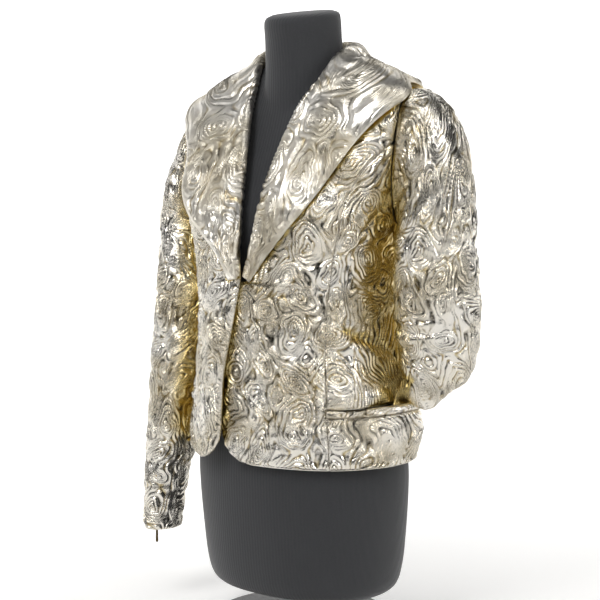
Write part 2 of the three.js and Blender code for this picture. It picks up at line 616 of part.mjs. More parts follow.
function sleeve(rows, side, flat) {
  const table = side > 0 ? LEFT_ARM : RIGHT_ARM;
  const arm = track(table, "z");
  const cuff = table.at(-1).z;
  const headRows = 8 / rows;
  const place = (u, v, outside) => {
    const turn = 360 * u;
    const inHead = v > 1 - headRows;
    const z = inHead ? HEAD_END : mix(cuff, HEAD_END, v / (1 - headRows));
    const t = inHead ? (1 - v) / headRows : 1;
    const length = inHead ? HEAD_END + (1 - t) * 170 : z;
    const round = arm(z).deep * rad(turn - 180);
    const ends = ease(length - cuff, 0, QUILT_FADE) * ease(t, 0, 0.25);
    const quilt = puff(round, length) * ease(Math.abs(turn - 180), 2, 22) * ends * flat(turn, z);
    const fold = side > 0 && !inHead ? creases(turn, z) : 0;
    const out = (outside ? QUILT_RISE * quilt : -CLOTH) - fold;
    if (!inHead) return armPoint(arm, turn, z, out);
    return headPoint(arm, turn, t, out, side > 0 ? HEAD_OUT.left : HEAD_OUT.right);
  };
  const geometry = tube(rows, SLEEVE_SIDES, (u, v) => place(u, v, true), (u, v) => place(u, v, false));
  return side > 0 ? geometry : mirrored(geometry);
}

// Folds across the inside of the bent elbow.
const creases = (turn, z) => {
  const inside = Math.max(0, Math.cos(rad(turn - 255))) ** 1.5;
  return inside * ELBOW_FOLDS.reduce((sum, fold) => sum + fold.deep * hill(z, fold.z, 9), 0);
};

// ---------------------------------------------------------------- small pieces
// A straight bar on the outside of the right cuff, between two heights and two distances out.
function onCuff({ low, high, inner, outer, width, steps = 1 }) {
  const arm = track(RIGHT_ARM, "z");
  const loops = upTo(steps).map((i) => {
    const z = mix(high, low, i / steps);
    const [a, b] = [armPoint(arm, ZIP.turn, z, inner), armPoint(arm, ZIP.turn, z, outer)];
    const out = b.clone().sub(a).normalize();
    const across = out.cross(armFrame(arm, z).down).normalize().multiplyScalar(width / 2);
    return [a.clone().sub(across), a.clone().add(across), b.clone().add(across), b.clone().sub(across)];
  });
  return mirrored(loft(loops));
}

const CUFF = RIGHT_ARM.at(-1).z;
const sliderIn = ZIP.clear + ZIP.thick + SEAM_GAP;
const sliderOut = sliderIn + SLIDER.thick;
const pullIn = sliderOut + PULL.clear;
const zipTape = () =>
  onCuff({
    low: CUFF,
    high: CUFF + ZIP.length,
    inner: ZIP.clear,
    outer: ZIP.clear + ZIP.thick,
    width: ZIP.width,
    steps: 8,
  });
const zipSlider = () =>
  onCuff({
    low: CUFF,
    high: CUFF + SLIDER.length,
    inner: sliderIn,
    outer: sliderOut,
    width: SLIDER.width,
  });
const zipPull = () =>
  onCuff({
    low: CUFF + SLIDER.length / 2 - PULL.length - 4,
    high: CUFF + SLIDER.length / 2,
    inner: pullIn,
    outer: pullIn + PULL.thick,
    width: PULL.width,
  });

function snap() {
  const r = SNAP.radius;
  const profile = [
    [0, 0],
    [r, 0],
    [r, 0.9],
    [r - 0.8, 1.7],
    [r - 2, 1.7],
    [SNAP.dome, 0.9],
    [SNAP.dome * 0.7, SNAP.rise],
    [0, SNAP.rise + 0.6],
  ].map(([x, y]) => new THREE.Vector2(x, y));
  const geometry = new THREE.LatheGeometry(profile, 20);
  const out = normal(SNAP.angle, SNAP.z);
  geometry.applyQuaternion(new THREE.Quaternion().setFromUnitVectors(vec(0, 1, 0), out));
  const at = skin(SNAP.angle, SNAP.z, hip(SNAP.angle, SNAP.z) + 0.6);
  geometry.translate(at.x, at.y, at.z);
  return geometry;
}

// ---------------------------------------------------------------- dress form and stand
function dressForm() {
  const loops = FORM_ROWS.map((z) =>
    upTo(FORM_SIDES - 1).map((i) => {
      const turn = (360 * i) / FORM_SIDES - 180;
      const torso = z < 800 ? reach(FORM(z), turn) + bump(FORM_BUST, turn, z) : 0;
      const neck = z > 690 ? reach(FORM_NECK(z), turn) : 0;
      const at = onRay(turn, (torso ** NECK_BLEND + neck ** NECK_BLEND) ** (1 / NECK_BLEND), z);
      at.z += NECK_TILT * at.y * ease(z, 800, 850);
      return at;
    }),
  );
  return facingOut(loft(loops));
}

function post() {
  const tall = FORM_BOTTOM - BASE_HEIGHT - 2 * SEAM_GAP;
  const geometry = new THREE.CylinderGeometry(POST_RADIUS, POST_RADIUS, tall, 24);
  geometry.rotateX(Math.PI / 2);
  geometry.translate(0, 0, BASE_HEIGHT + SEAM_GAP + tall / 2);
  return geometry;
}

function base() {
  const profile = [
    [0, 0],
    [BASE_RADIUS, 0],
    [BASE_RADIUS, BASE_HEIGHT - 4],
    [BASE_RADIUS - 4, BASE_HEIGHT],
    [0, BASE_HEIGHT],
  ].map(([x, y]) => new THREE.Vector2(x, y));
  return new THREE.LatheGeometry(profile, 48).rotateX(Math.PI / 2);
}

// ---------------------------------------------------------------- the part
const finish = (color, roughness, metalness) => () =>
  new THREE.MeshStandardMaterial({ color, roughness, metalness });
const foil = finish("#d9cba4", 0.32, 0.9);
const jersey = finish("#3c3d40", 0.9, 0);
const steel = finish("#2b2b2c", 0.45, 0.6);
const brass = finish("#6d5a34", 0.4, 1);

function tilted(geometry) {
  const at = geometry.getAttribute("position");
  for (let k = 0; k < at.count; k += 1) {
    const [x, z] = [at.getX(k), at.getZ(k)];
    const share = ease(z, TILT.from, TILT.full) * (1 - 0.8 * ease(z, 785, 835));
    at.setZ(k, z + (TILT.slope * x + TILT.bend * x * x) * share);
  }
  return geometry;
}

const part = new THREE.Group();
function add(name, geometry, material) {
  const mesh = new THREE.Mesh(tilted(geometry), material());
  mesh.name = name;
  part.add(mesh);
}

add("stand_base", base(), steel);
add("stand_post", post(), steel);
add("dress_form", dressForm(), jersey);
add("back", back(), foil);
for (const [name, side] of [["left", 1], ["right", -1]]) {
  add(`front_${name}_centre`, frontCentre(side), foil);
  add(`front_${name}_side`, frontSide(side), foil);
  add(`front_${name}_lower`, frontLower(side), foil);
  add(`pocket_welt_${name}`, welt(side), foil);
  add(`collar_${name}`, collar(side), foil);
}
const clearOfZip = (turn, z) => 1 - ease(z - CUFF - ZIP.length, 20, 5) * hill(turn, ZIP.turn, 22);
const clearOfPocket = (turn, z) => ease(z, 338, 356);
add("sleeve_left", sleeve(32, 1, clearOfPocket), foil);
add("sleeve_right", sleeve(36, -1, clearOfZip), foil);
add("snap", snap(), brass);
add("zip_tape_right", zipTape(), brass);
add("zip_slider_right", zipSlider(), brass);
add("zip_pull_right", zipPull(), brass);

export default part;
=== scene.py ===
# %% [markdown]
# # A quilted foil blazer on a dress form
#
# The object is a fitted evening jacket of metallised cloque: cloth that is stitched to a soft
# backing in swirls, so that it rises in small ridges between the stitches. It hangs open over a
# limbless dress form. A cloth simulation could drape a jacket, but it would lose the ridges and
# the tailoring. So each piece is worked out as a tailor thinks of it: a smooth surface that a
# few rings describe, cut along seams, and then quilted by pushing a fine grid out of it.

# %% Load the frame
import math
from functools import partial

import bpy
import numpy as np
from mathutils import Matrix, Vector
from mathutils.bvhtree import BVHTree


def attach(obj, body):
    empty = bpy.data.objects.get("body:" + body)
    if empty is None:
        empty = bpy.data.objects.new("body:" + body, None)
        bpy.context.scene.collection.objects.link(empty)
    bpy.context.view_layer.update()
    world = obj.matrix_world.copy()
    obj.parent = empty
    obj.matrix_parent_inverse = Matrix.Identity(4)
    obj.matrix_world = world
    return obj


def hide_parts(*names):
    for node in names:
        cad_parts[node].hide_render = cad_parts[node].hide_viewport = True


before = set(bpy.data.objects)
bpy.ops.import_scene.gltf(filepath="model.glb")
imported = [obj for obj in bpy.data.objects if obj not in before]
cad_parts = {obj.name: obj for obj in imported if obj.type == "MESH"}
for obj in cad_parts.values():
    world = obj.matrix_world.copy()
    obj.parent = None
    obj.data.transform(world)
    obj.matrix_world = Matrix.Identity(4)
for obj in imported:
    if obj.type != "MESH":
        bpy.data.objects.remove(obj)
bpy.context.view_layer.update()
MM = 0.001
BODY = "blazer_on_form"
print("solids in the frame:", len(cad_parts))

# %% [markdown]
# ## Small tools for curves and grids
#
# All the shapes are worked out in millimetres with numpy, on whole grids of points at once, and
# turned to metres when a mesh is made. A track is a short table that is read on a smooth curve,
# as a pattern maker draws a curve through a few measured points.


# %% Curves
def slopes(at, values):
    """How fast values change at each place in a row of places, from the places beside it."""
    ahead = np.minimum(np.arange(at.shape[-1]) + 1, at.shape[-1] - 1)
    behind = np.maximum(np.arange(at.shape[-1]) - 1, 0)
    return (values[..., ahead, :] - values[..., behind, :]) / (at[..., ahead] - at[..., behind])[..., None]


def curve(a, b, leave, arrive, t):
    """From a to b as t goes from 0 to 1, with these slopes at the two ends."""
    start = a * (1 + 2 * t) * (1 - t) ** 2 + leave * t * (1 - t) ** 2
    end = b * t * t * (3 - 2 * t) - arrive * t * t * (1 - t)
    return start + end


def track(names, rows):
    """A table read on a smooth curve: the first column is where, the others are what."""
    names = names.split()
    table = np.array(sorted(rows), float)
    at, values = table[:, 0], table[:, 1:]
    slope = slopes(at, values)

    def read(x):
        x = np.asarray(x, float)
        i = np.clip(np.searchsorted(at, x, side="right") - 1, 0, len(at) - 2)
        span = at[i + 1] - at[i]
        t = np.clip((x - at[i]) / span, 0, 1)
        return {
            name: curve(values[i, k], values[i + 1, k], slope[i, k] * span, slope[i + 1, k] * span, t)
            for k, name in enumerate(names)
        }

    return read


def ease(x, start, end):
    """Smoothly from 0 at start to 1 at end, whichever is larger."""
    t = np.clip((x - start) / (end - start), 0, 1)
    return t * t * (3 - 2 * t)


def mix(a, b, t):
    return a + (b - a) * t


def hill(x, middle, width):
    return np.exp(-(((x - middle) / width) ** 2))


def unit(vectors):
    return vectors / np.maximum(np.linalg.norm(vectors, axis=-1, keepdims=True), 1e-9)


def point(x, y, z):
    return np.stack(np.broadcast_arrays(x, y, z), axis=-1).astype(float)


def across_grid(points):
    """The outward direction at each point of a grid whose columns run right and rows run up."""
    return unit(np.cross(np.gradient(points, axis=1), np.gradient(points, axis=0)))


def across_tube(points):
    """The same for a tube, whose columns run round."""
    wrapped = np.concatenate([points[:, -1:], points, points[:, :1]], axis=1)
    return across_grid(wrapped)[:, 1:-1]


# %% [markdown]
# ## The jacket's measurements
#
# These are the tailor's measurements: rings of the jacket at several heights (half its width,
# how far it reaches forwards and back, and how square the ring is), the princess seams that
# shape the front, the oval armholes, and the line of the shawl collar. They are the same sizes
# as the solids', so each visible piece lies where its solid lies. All are in millimetres and
# degrees.

# %% Measurements
HEM, POCKET, WELT = 245.0, 328.0, 12.0
BREAK, UNDERARM, JUNCTION, SHOULDER, NECK = 497.0, 561.0, 684.0, 746.0, 791.0
SIDE_SEAM, SHOULDER_SEAM = 103.0, 90.0
UNDERLAP, LAP_SHIFT = -16.5, 5.0
CORNER_WIDE, CORNER_TALL = 24.0, 44.0
CLOTH = 2.4  # the wall of one layer with its soft backing
SEAM_GAP = 0.35
# Millimetres of cloth in one degree: at the centre front, on average, and at the side.
FRONT_DEGREE, DEGREE, SIDE_DEGREE = 2.3, 2.6, 2.7

RING = "half front back square"
JACKET = track(RING, [
    (225, 169, 132, 128, 2.2),
    (245, 168, 132, 127, 2.2),
    (300, 164, 132, 120, 2.2),
    (360, 152, 131, 110, 2.3),
    (420, 142, 130, 102, 2.4),
    (470, 142, 130, 100, 2.4),
    (500, 145, 127, 101, 2.4),
    (540, 151, 117, 103, 2.5),
    (600, 162, 106, 109, 2.7),
    (650, 176, 90, 113, 2.9),
    (700, 190, 69, 108, 3.0),
    (722, 191, 58, 102, 2.8),
    (742, 184, 46, 96, 2.5),
    (756, 159, 37, 90, 2.3),
    (770, 128, 28, 84, 2.2),
    (782, 101, 20, 79, 2.1),
    (793, 80, 13, 75, 2.0),
    (815, 72, 12, 72, 2.0),
])
BUST = {"angle": 38, "z": 592, "spread": 24, "tall": 62, "rise": 18}
PRINCESS = track("angle", [
    (225, 53.5), (330, 51.8), (430, 52.2), (490, 54), (560, 57), (605, 60.2), (637, 66), (660, 72.5),
    (684, 81.2),
])
ARMHOLE_TOP, ARMHOLE_HALF, ARMHOLE_LEAN = 92.0, 15.5, 0.06
RIGHT_EDGE = track("angle off", [
    (225, 10.5, 21), (330, 9.8, 17), (370, 9, 16), (414, 5.7, 14), (457, 1.6, 12), (497, -0.4, 9),
    (540, 5, 5), (600, 9, 0),
])
COLLAR_ROWS = [
    # s, seam, seam_z, x, y, z, edge, edge_z, lift, off
    (0, 4.6, 499, 6, -135, 505, 7, 496, 1, 1),
    (0.146, 7.8, 540, 11, -124, 542, 17.5, 526, 2, 4),
    (0.258, 9.8, 573, 14, -117, 575, 26, 550, 2, 8),
    (0.44, 15, 626, 22, -103, 629, 38.5, 588, 2, 14),
    (0.565, 21.5, 663, 30, -92, 666, 48.3, 618, 2, 16),
    (0.69, 32, 700, 40, -76, 705, 57.8, 649, 2, 13),
    (0.81, 46, 735, 51, -57, 742, 66.7, 680, 3, 8),
    (0.9, 63, 762, 60, -32, 770, 74.5, 706, 4, 5),
    (0.955, 76, 778, 67, -17, 790, 82.5, 727, 4, 4),
    (1, 90, 791, 71, -2, 804, 92.5, 748, 4, 4),
    (1.25, 113, 791, 67, 26, 812, 112, 742, 2, 2),
    (1.6, 146, 791, 42, 58, 816, 143, 722, 1, 1),
    (2, 180, 791, 0, 70, 817, 180, 712, 1, 1),
]
COLLAR = track("seam seam_z x y z edge edge_z lift off", COLLAR_ROWS)
SEAMS = track("angle", [(row[2], row[1]) for row in COLLAR_ROWS if row[0] <= 1])
TILT_SLOPE, TILT_BEND = 0.075, -0.00019


# %% [markdown]
# ## The jacket's surface
#
# A place on the jacket is an angle round the body, counted from the centre front towards the
# wearer's left, and a height. The function below turns both into a point. The bust, the hip over
# the tucked-in hand and the loose right front are added on top of the plain rings.


# %% Surface
def reach(ring, angle):
    """From the axis to an oval ring, in the direction of an angle."""
    turn = np.radians(angle)
    across = np.abs(np.sin(turn) / ring["half"])
    along = np.abs(np.cos(turn) / np.where(np.cos(turn) > 0, ring["front"], ring["back"]))
    return (across ** ring["square"] + along ** ring["square"]) ** (-1 / ring["square"])


def bump(b, angle, z):
    return b["rise"] * hill(np.abs(angle), b["angle"], b["spread"]) * hill(z, b["z"], b["tall"])


def on_ray(angle, far, z):
    return point(far * np.sin(np.radians(angle)), -far * np.cos(np.radians(angle)), z)


def skin(angle, z):
    turn = np.where(np.asarray(angle) > 180, np.asarray(angle) - 360, angle)
    return on_ray(turn, reach(JACKET(z), turn) + bump(BUST, turn, z), z)


def normal(angle, z):
    around = skin(angle + 0.2, z) - skin(angle - 0.2, z)
    return unit(np.cross(around, skin(angle, z + 0.5) - skin(angle, z - 0.5)))


def above_cuff(angle, z):
    return 15 * hill(angle, 64, 9) * ease(z, 410, 345)


def below_cuff(angle, z):
    pushed = 7 * hill(angle, 62, 12) + 28 * np.exp(-(((angle - 90) / 17) ** 4))
    return pushed * ease(z, 205, 312) * ease(z, 380, 334)


def hip(angle, z):
    return mix(below_cuff(angle, z), above_cuff(angle, z), ease(z, POCKET - 12, POCKET + 12))


def stand_off(angle, z):
    return RIGHT_EDGE(z)["off"] * ease(angle, -51, -14)


def arm_middle(z):
    return ARMHOLE_TOP + ARMHOLE_LEAN * (SHOULDER - z)


def arm_spread(z):
    t = (2 * z - SHOULDER - UNDERARM) / (SHOULDER - UNDERARM)
    return ARMHOLE_HALF * np.sqrt(np.clip(1 - t * t, 0, None))


def tilted(points):
    """The wearer's left shoulder is carried higher than the right one."""
    x, z = points[..., 0], points[..., 2]
    share = ease(z, 590, 740) * (1 - 0.8 * ease(z, 785, 835))
    moved = points.copy()
    moved[..., 2] = z + (TILT_SLOPE * x + TILT_BEND * x * x) * share
    return moved


# %% [markdown]
# ## The quilting
#
# Cloque gets its relief from stitched lines that pull the foil down to the backing. Here they
# run in ovals and small spirals about 50 mm apart, and flow round each other in between, about
# 5 mm from line to line. Heights like those of a contour map give that: each swirl's middle is
# a hilltop, and the stitched lines are its contours. A texture could fake the ridges, but they
# are about 2 mm high and break up the outline, so they are real geometry.

# %% Quilting
SWIRL_PITCH = 54.0  # between the middles of two swirls
PUFF_RISE = 2.4  # the soft pillow under each swirl
STITCH_PITCH = 4.9  # from one stitched line to the next
RIDGE_RISE = 2.3
ROW_PITCH = 0.87  # between two rows of swirls, as a share of the pitch
SWIRL_FALL = 6.5  # a swirl's height falls to about a third over this distance


def wobble(u, v, size, seed):
    """Smooth random waves between about -1 and 1, of a size in millimetres."""
    total = 0.0
    for k in range(5):
        turn = 2.4 * k + 1.7 * seed
        stretch = 2 * math.pi / (size * (0.75 + 0.12 * k))
        total = total + np.sin(stretch * (u * math.cos(turn) + v * math.sin(turn)) + 4.1 * k + seed)
    return total / 2.6


def quilting(u, v):
    """The pillows' and the ridges' relief in millimetres, and what is sewn there.

    That last has three numbers for each place: how deep it lies in a stitched line, its distance
    across the lines and its distance along them. The foil's material draws finer detail from them.
    """
    u_flow = u + 5.5 * wobble(u, v, 75, 1) + 1.4 * wobble(u, v, 21, 2)
    v_flow = v + 5.5 * wobble(u, v, 75, 3) + 1.4 * wobble(u, v, 21, 4)
    row = np.round(v / (SWIRL_PITCH * ROW_PITCH))
    near, after = np.full(u.shape, 1e9), np.full(u.shape, 1e9)
    close, turn, arms, level = np.full(u.shape, 1e9), np.zeros(u.shape), np.zeros(u.shape), 0.0
    for dj in range(-2, 3):
        j = row + dj
        odd = np.mod(j, 2)
        first = np.round(u / SWIRL_PITCH - 0.5 * odd)
        for di in range(-2, 3):
            i = first + di
            x = (i + 0.5 * odd + 0.26 * np.sin(12.9 * i + 78.2 * j)) * SWIRL_PITCH
            y = (ROW_PITCH * j + 0.24 * np.sin(39.3 * i + 11.1 * j)) * SWIRL_PITCH
            away = np.hypot(u - x, v - y)
            after = np.where(away < near, near, np.minimum(after, away))
            near = np.minimum(near, away)
            lean = 1.57 + 0.9 * np.sin(5.3 * i + 9.1 * j)
            longer = 1.22 + 0.2 * np.sin(17.1 * i + 3.7 * j)
            p = ((u_flow - x) * np.cos(lean) + (v_flow - y) * np.sin(lean)) / longer
            q = ((v_flow - y) * np.cos(lean) - (u_flow - x) * np.sin(lean)) * longer
            oval = np.hypot(p, q)
            level = level + np.exp(-oval / SWIRL_FALL)
            inside = oval < close
            close = np.where(inside, oval, close)
            turn = np.where(inside, np.arctan2(q, p), turn)
            arms = np.where(inside, np.sign(np.sin(7.7 * i + 2.9 * j)), arms)
    puff = np.clip((after - near) / (0.55 * SWIRL_PITCH), 0, 1) ** 0.7
    phase = -SWIRL_FALL * np.log(level) / STITCH_PITCH
    spiral = np.clip((17 - close) / 7, 0, 1)
    rings, spirals = np.cos(2 * np.pi * phase), np.cos(2 * np.pi * phase + arms * turn)
    wave = (1 - spiral) * rings + spiral * spirals
    ridge = np.clip(0.5 + 0.5 * wave, 0, 1) ** 0.75
    strength = np.clip(0.9 + 0.25 * wobble(u, v, 60, 5) + 0.25 * wobble(u, v, 17, 7), 0.35, 1.25)
    sewn = point((1 - ridge) * np.minimum(strength + 0.1, 1), phase * STITCH_PITCH, turn * close)
    return PUFF_RISE * puff, RIDGE_RISE * ridge * strength, sewn


def faded(sewn, share):
    """The same sewing with its lines' depth cut to a share."""
    return sewn * point(share, 1, 1)


# %% [markdown]
# ## Finishes
#
# The jacket's face is a metallised film: a metal to the light, champagne in tint, with a soft
# gloss that fine crinkles break up. In the stitched lines the film is strained and the ground
# shows through, and painted shade darkens these crevices as well; where foil faces foil, a
# painted gold reflection warms the tint. The form wears charcoal cotton jersey, a matt knit with
# a faint sheen. The zip is antique brass, the snap is silver gilt and the stand has satin black paint.


# %% A helper for node materials
def linear(code):
    """An sRGB hex colour as linear values with alpha."""
    parts = [int(code[k:k + 2], 16) / 255 for k in (1, 3, 5)]
    return [c / 12.92 if c <= 0.04045 else ((c + 0.055) / 1.055) ** 2.4 for c in parts] + [1.0]


def fill(node, sockets):
    """Gives a node's sockets values or links."""
    for key, value in sockets.items():
        if isinstance(value, bpy.types.NodeSocket):
            node.id_data.links.new(value, node.inputs[key])
        else:
            node.inputs[key].default_value = value


def add_node(tree, kind, sockets=None, out=0, stops=(), **settings):
    """Adds a shader node with its settings, ramp stops and links, and returns one output."""
    made = tree.nodes.new("ShaderNode" + kind)
    for key, value in settings.items():
        setattr(made, key, value)
    for k, (position, colour) in enumerate(stops):
        element = made.color_ramp.elements[k]
        element.position, element.color = position, linear(colour)
    fill(made, sockets or {})
    return made.outputs[out]


def new_material(name):
    """A material, a function that adds a node to it, and its surface node."""
    made = bpy.data.materials.new(name)
    made.use_nodes = True
    return made, partial(add_node, made.node_tree), made.node_tree.nodes["Principled BSDF"]


def waves(add, distance, length):
    """A sine wave over a distance in millimetres."""
    scaled = add("Math", {0: distance, 1: 2 * math.pi / length}, operation="MULTIPLY")
    return add("Math", {0: scaled}, operation="SINE")


# %% [markdown]
# ### Champagne foil on cloque
#
# A plain metal would look like painted tin. Four things make it cloth: crinkles up to 4 mm wide
# in the film, a tint that drifts over a hand's width, stitched lines whose colour is painted darker,
# to grey grains in some places and to the tan ground in others (partly the strained film, partly
# painted shade in the crevices), and a painted gold reflection where foil faces foil. The stitched
# lines and the hollows are read from values that each shell carries, and so are the fine cords
# along the ridges and the gathers across them. The collar is pressed, so its foil is duller.


# %% Foil
def foil_finish(name, shine, dull):
    """The foil, whose crinkles lie between two roughnesses."""
    made, add, surface = new_material(name)
    place = add("TexCoord", out="Object")
    painted_reflection, stitch, across, along = (
        add("Attribute", out="Fac", attribute_name=key) for key in ("painted_reflection", "stitch", "across", "along")
    )
    drift, crinkle, patches = (
        add("TexNoise", {"Vector": place, "Scale": 1 / size, "Detail": detail})
        for size, detail in ((0.07, 2.0), (0.0042, 4.0), (0.028, 1.0))
    )
    tint = add("ValToRGB", {"Fac": drift}, stops=((0.38, "#E6E2DA"), (0.62, "#DFD7C5")))
    # Painted gold reflection: the more of a place's view other cloth fills, the more its tint turns gold.
    deep = add("MapRange", {"Value": painted_reflection, "From Min": 0.14, "From Max": 0.55})
    tint_and_reflection = add("Mix", {0: deep, 6: tint, 7: linear("#D6C286")}, out=2, data_type="RGBA")
    # Along the stitched lines the colour is painted darker: partly the strained film's grains and ground,
    # partly painted shade in the crevices.
    grains = add("ValToRGB", {"Fac": crinkle}, stops=((0.42, "#1E1D1B"), (0.62, "#989184")))
    ground = add("ValToRGB", {"Fac": crinkle}, stops=((0.4, "#8E7A4C"), (0.6, "#C9BB98")))
    sort = add("MapRange", {"Value": patches, "From Min": 0.46, "From Max": 0.56})
    sunk = add("Mix", {0: sort, 6: ground, 7: grains}, out=2, data_type="RGBA")
    line = add("MapRange", {"Value": stitch, "From Min": 0.5, "From Max": 0.95})
    stitch_wear_and_shade = add("Mix", {0: line, 6: tint_and_reflection, 7: sunk}, out=2, data_type="RGBA")
    rough = add("MapRange", {"Value": crinkle, "To Min": shine, "To Max": dull})
    low = add("Bump", {"Height": crinkle, "Distance": 0.0009, "Strength": 0.6})
    cords = waves(add, across, 2.45)
    middle = add("Bump", {"Height": cords, "Distance": 0.0003, "Strength": 0.4, "Normal": low})
    gathers = waves(add, along, 2.7)
    drifts = {"Value": drift, "From Min": 0.45, "From Max": 0.6, "To Min": 0.1, "To Max": 0.9}
    patchy = add("MapRange", drifts)
    fine = add("Bump", {"Height": gathers, "Distance": 0.0004, "Strength": patchy, "Normal": middle})
    fill(surface, {"Base Color": stitch_wear_and_shade, "Metallic": 1.0, "Roughness": rough, "Normal": fine})
    return made


FOIL = foil_finish("metallised_cloque", 0.12, 0.28)
PRESSED_FOIL = foil_finish("pressed_metallised_cloque", 0.24, 0.42)
print("foil:", len(FOIL.node_tree.nodes), "nodes")

# %% [markdown]
# ### Jersey, brass, silver gilt, paint and tape
#
# The jersey's ribs are about 1 mm apart; they are drawn 5 mm apart, so that they show. Antique
# brass is bare on its high spots and almost black in its hollows, which a noise stands in for.


# %% The other finishes
JERSEY_RIB = 0.004935
WAVE_RATE = 20  # a wave texture at scale 1 has this many radians in a metre


def jersey_finish():
    made, add, surface = new_material("cotton_jersey")
    place = add("TexCoord", out="Object")
    bands = {"Vector": place, "Scale": 2 * math.pi / WAVE_RATE / JERSEY_RIB, "Distortion": 1.5, "Detail": 1.0}
    rib = add("TexWave", bands, out="Fac", wave_type="BANDS", bands_direction="X")
    fuzz = add("TexNoise", {"Vector": place, "Scale": 1 / 0.0018, "Detail": 4.0})
    cloud = add("TexNoise", {"Vector": place, "Scale": 1 / 0.12, "Detail": 2.0})
    tone = add("ValToRGB", {"Fac": cloud}, stops=((0, "#222325"), (1, "#292A2D")))
    speck = add("Mix", {0: fuzz, 6: tone, 7: linear("#303134")}, out=2, data_type="RGBA")
    low = add("Bump", {"Height": rib, "Distance": 0.0004, "Strength": 0.4})
    fine = add("Bump", {"Height": fuzz, "Distance": 0.0004, "Strength": 0.4, "Normal": low})
    fill(surface, {"Base Color": speck, "Roughness": 0.88, "Normal": fine})
    fill(surface, {"Sheen Weight": 0.25, "Sheen Roughness": 0.5})
    return made


def metal_finish(name, bright, dark, roughness, metallic, grain):
    """A metal, paint or tape that is duller and darker in small patches."""
    made, add, surface = new_material(name)
    place = add("TexCoord", out="Object")
    age = add("TexNoise", {"Vector": place, "Scale": 1 / grain, "Detail": 4.0})
    tone = add("ValToRGB", {"Fac": age}, stops=((0.35, dark), (0.65, bright)))
    rough = add("MapRange", {"Value": age, "To Min": roughness + 0.12, "To Max": roughness - 0.08})
    peel = add("Bump", {"Height": age, "Distance": 0.0001, "Strength": 0.4})
    fill(surface, {"Base Color": tone, "Metallic": metallic, "Roughness": rough, "Normal": peel})
    return made


JERSEY = jersey_finish()
BRASS = metal_finish("antique_brass", "#9A7F4A", "#3A2E19", 0.38, 1.0, 0.0015)
SILVER_GILT = metal_finish("silver_gilt", "#CFC8B8", "#6E6656", 0.3, 1.0, 0.002)
PAINT = metal_finish("satin_black_paint", "#2B2B2C", "#222223", 0.45, 0.0, 0.004)
TAPE = metal_finish("woven_zip_tape", "#8C7A55", "#6A5A3C", 0.75, 0.0, 0.001)

# %% [markdown]
# ## From grids to cloth
#
# Each piece of cloth is a thin closed shell: a fine quilted face, a plainer back with a wider
# grid, and a rim that joins them. How deep a point lies in a stitched line travels with it as an
# attribute, and so does how much other cloth is in front of it, which rays find. The foil's
# material reads both.

# %% Shells
COARSE = 6  # one cell of the back spans this many cells of the face
# The lining's share below also sets how much painted gold reflection the back of each shell gets.
INSIDE = 0.6  # how much of a lining's view other cloth takes up


def grid_faces(first, rows, columns, closed, flip=False):
    """Quads over a grid of points numbered from first."""
    wide = columns if closed else columns - 1
    j, i = np.meshgrid(np.arange(rows - 1), np.arange(wide), indexing="ij")
    low, high, right = j * columns, (j + 1) * columns, (i + 1) % columns
    quads = np.stack([low + i, low + right, high + right, high + i], -1).reshape(-1, 4) + first
    return (quads[:, ::-1] if flip else quads).tolist()


def capped_tube(rows, columns):
    """The faces of a closed tube with a flat cap at each end."""
    caps = [tuple(range(columns))[::-1], tuple(range((rows - 1) * columns, rows * columns))]
    return grid_faces(0, rows, columns, True) + caps


def rim_faces(fine, wide, closed):
    """Triangles between a fine edge and a wide one that run the same way."""
    faces = []
    steps = len(wide) if closed else len(wide) - 1
    for k in range(steps):
        a, b = wide[k], wide[(k + 1) % len(wide)]
        run = [fine[(k * COARSE + n) % len(fine)] for n in range(COARSE + 1)]
        middle = COARSE // 2
        faces += [(run[n], a, run[n + 1]) for n in range(middle)]
        faces.append((run[middle], a, b))
        faces += [(run[n], b, run[n + 1]) for n in range(middle, COARSE)]
    return faces


def foil_solids():
    """The plain solids of the jacket as one tree that rays can be sent through."""
    points, faces = [], []
    for name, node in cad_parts.items():
        if name.split("_")[0] in ("back", "front", "collar", "sleeve", "pocket"):
            first = len(points)
            points += [node.matrix_world @ v.co for v in node.data.vertices]
            faces += [tuple(first + k for k in p.vertices) for p in node.data.polygons]
    return BVHTree.FromPolygons(points, faces)


SOLIDS = foil_solids()
RAYS = 24  # sent from each place, spread like the scales of a pine cone
RAY_TURN = 2.39996  # from one ray to the next, in radians
RAY_LENGTH = 0.14


def enclosed(points, out):
    """The share of each place's view that other cloth takes up, from rays about a hand long."""
    k = np.arange(RAYS)
    rise, turn = np.sqrt((k + 0.5) / RAYS), RAY_TURN * k
    level = np.sqrt(1 - rise * rise)
    side = unit(np.cross(out, (0.3, 0.2, 1.0)))
    up = np.cross(out, side)
    share = np.zeros(points.shape[:2])
    starts = (points + out * 5) * MM
    for a, b, c in zip(level * np.cos(turn), level * np.sin(turn), rise):
        ways = side * a + up * b + out * c
        for j, i in np.ndindex(share.shape):
            share[j, i] += SOLIDS.ray_cast(starts[j, i], ways[j, i], RAY_LENGTH)[0] is not None
    return share / RAYS


def spread_out(values, rows, columns, closed):
    """Values of the wide grid, read at every point of the fine one."""
    if closed:
        values = np.concatenate([values, values[:, :1]], axis=1)
    at_row, at_column = np.arange(rows) / COARSE, np.arange(columns) / COARSE
    wide = np.array([np.interp(at_column, np.arange(values.shape[1]), row) for row in values])
    return np.array([np.interp(at_row, np.arange(len(wide)), wide[:, i]) for i in range(columns)]).T


def mesh_object(name, points, faces, material, smooth=True):
    mesh = bpy.data.meshes.new(name)
    mesh.from_pydata((points * MM).tolist(), [], faces)
    mesh.validate()
    mesh.materials.append(material)
    if smooth:
        mesh.shade_smooth()
    made = bpy.data.objects.new(name, mesh)
    bpy.context.collection.objects.link(made)
    return made


def keep(made, body=BODY):
    """Attaches a finished piece to the body that carries it."""
    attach(made, body)
    return made


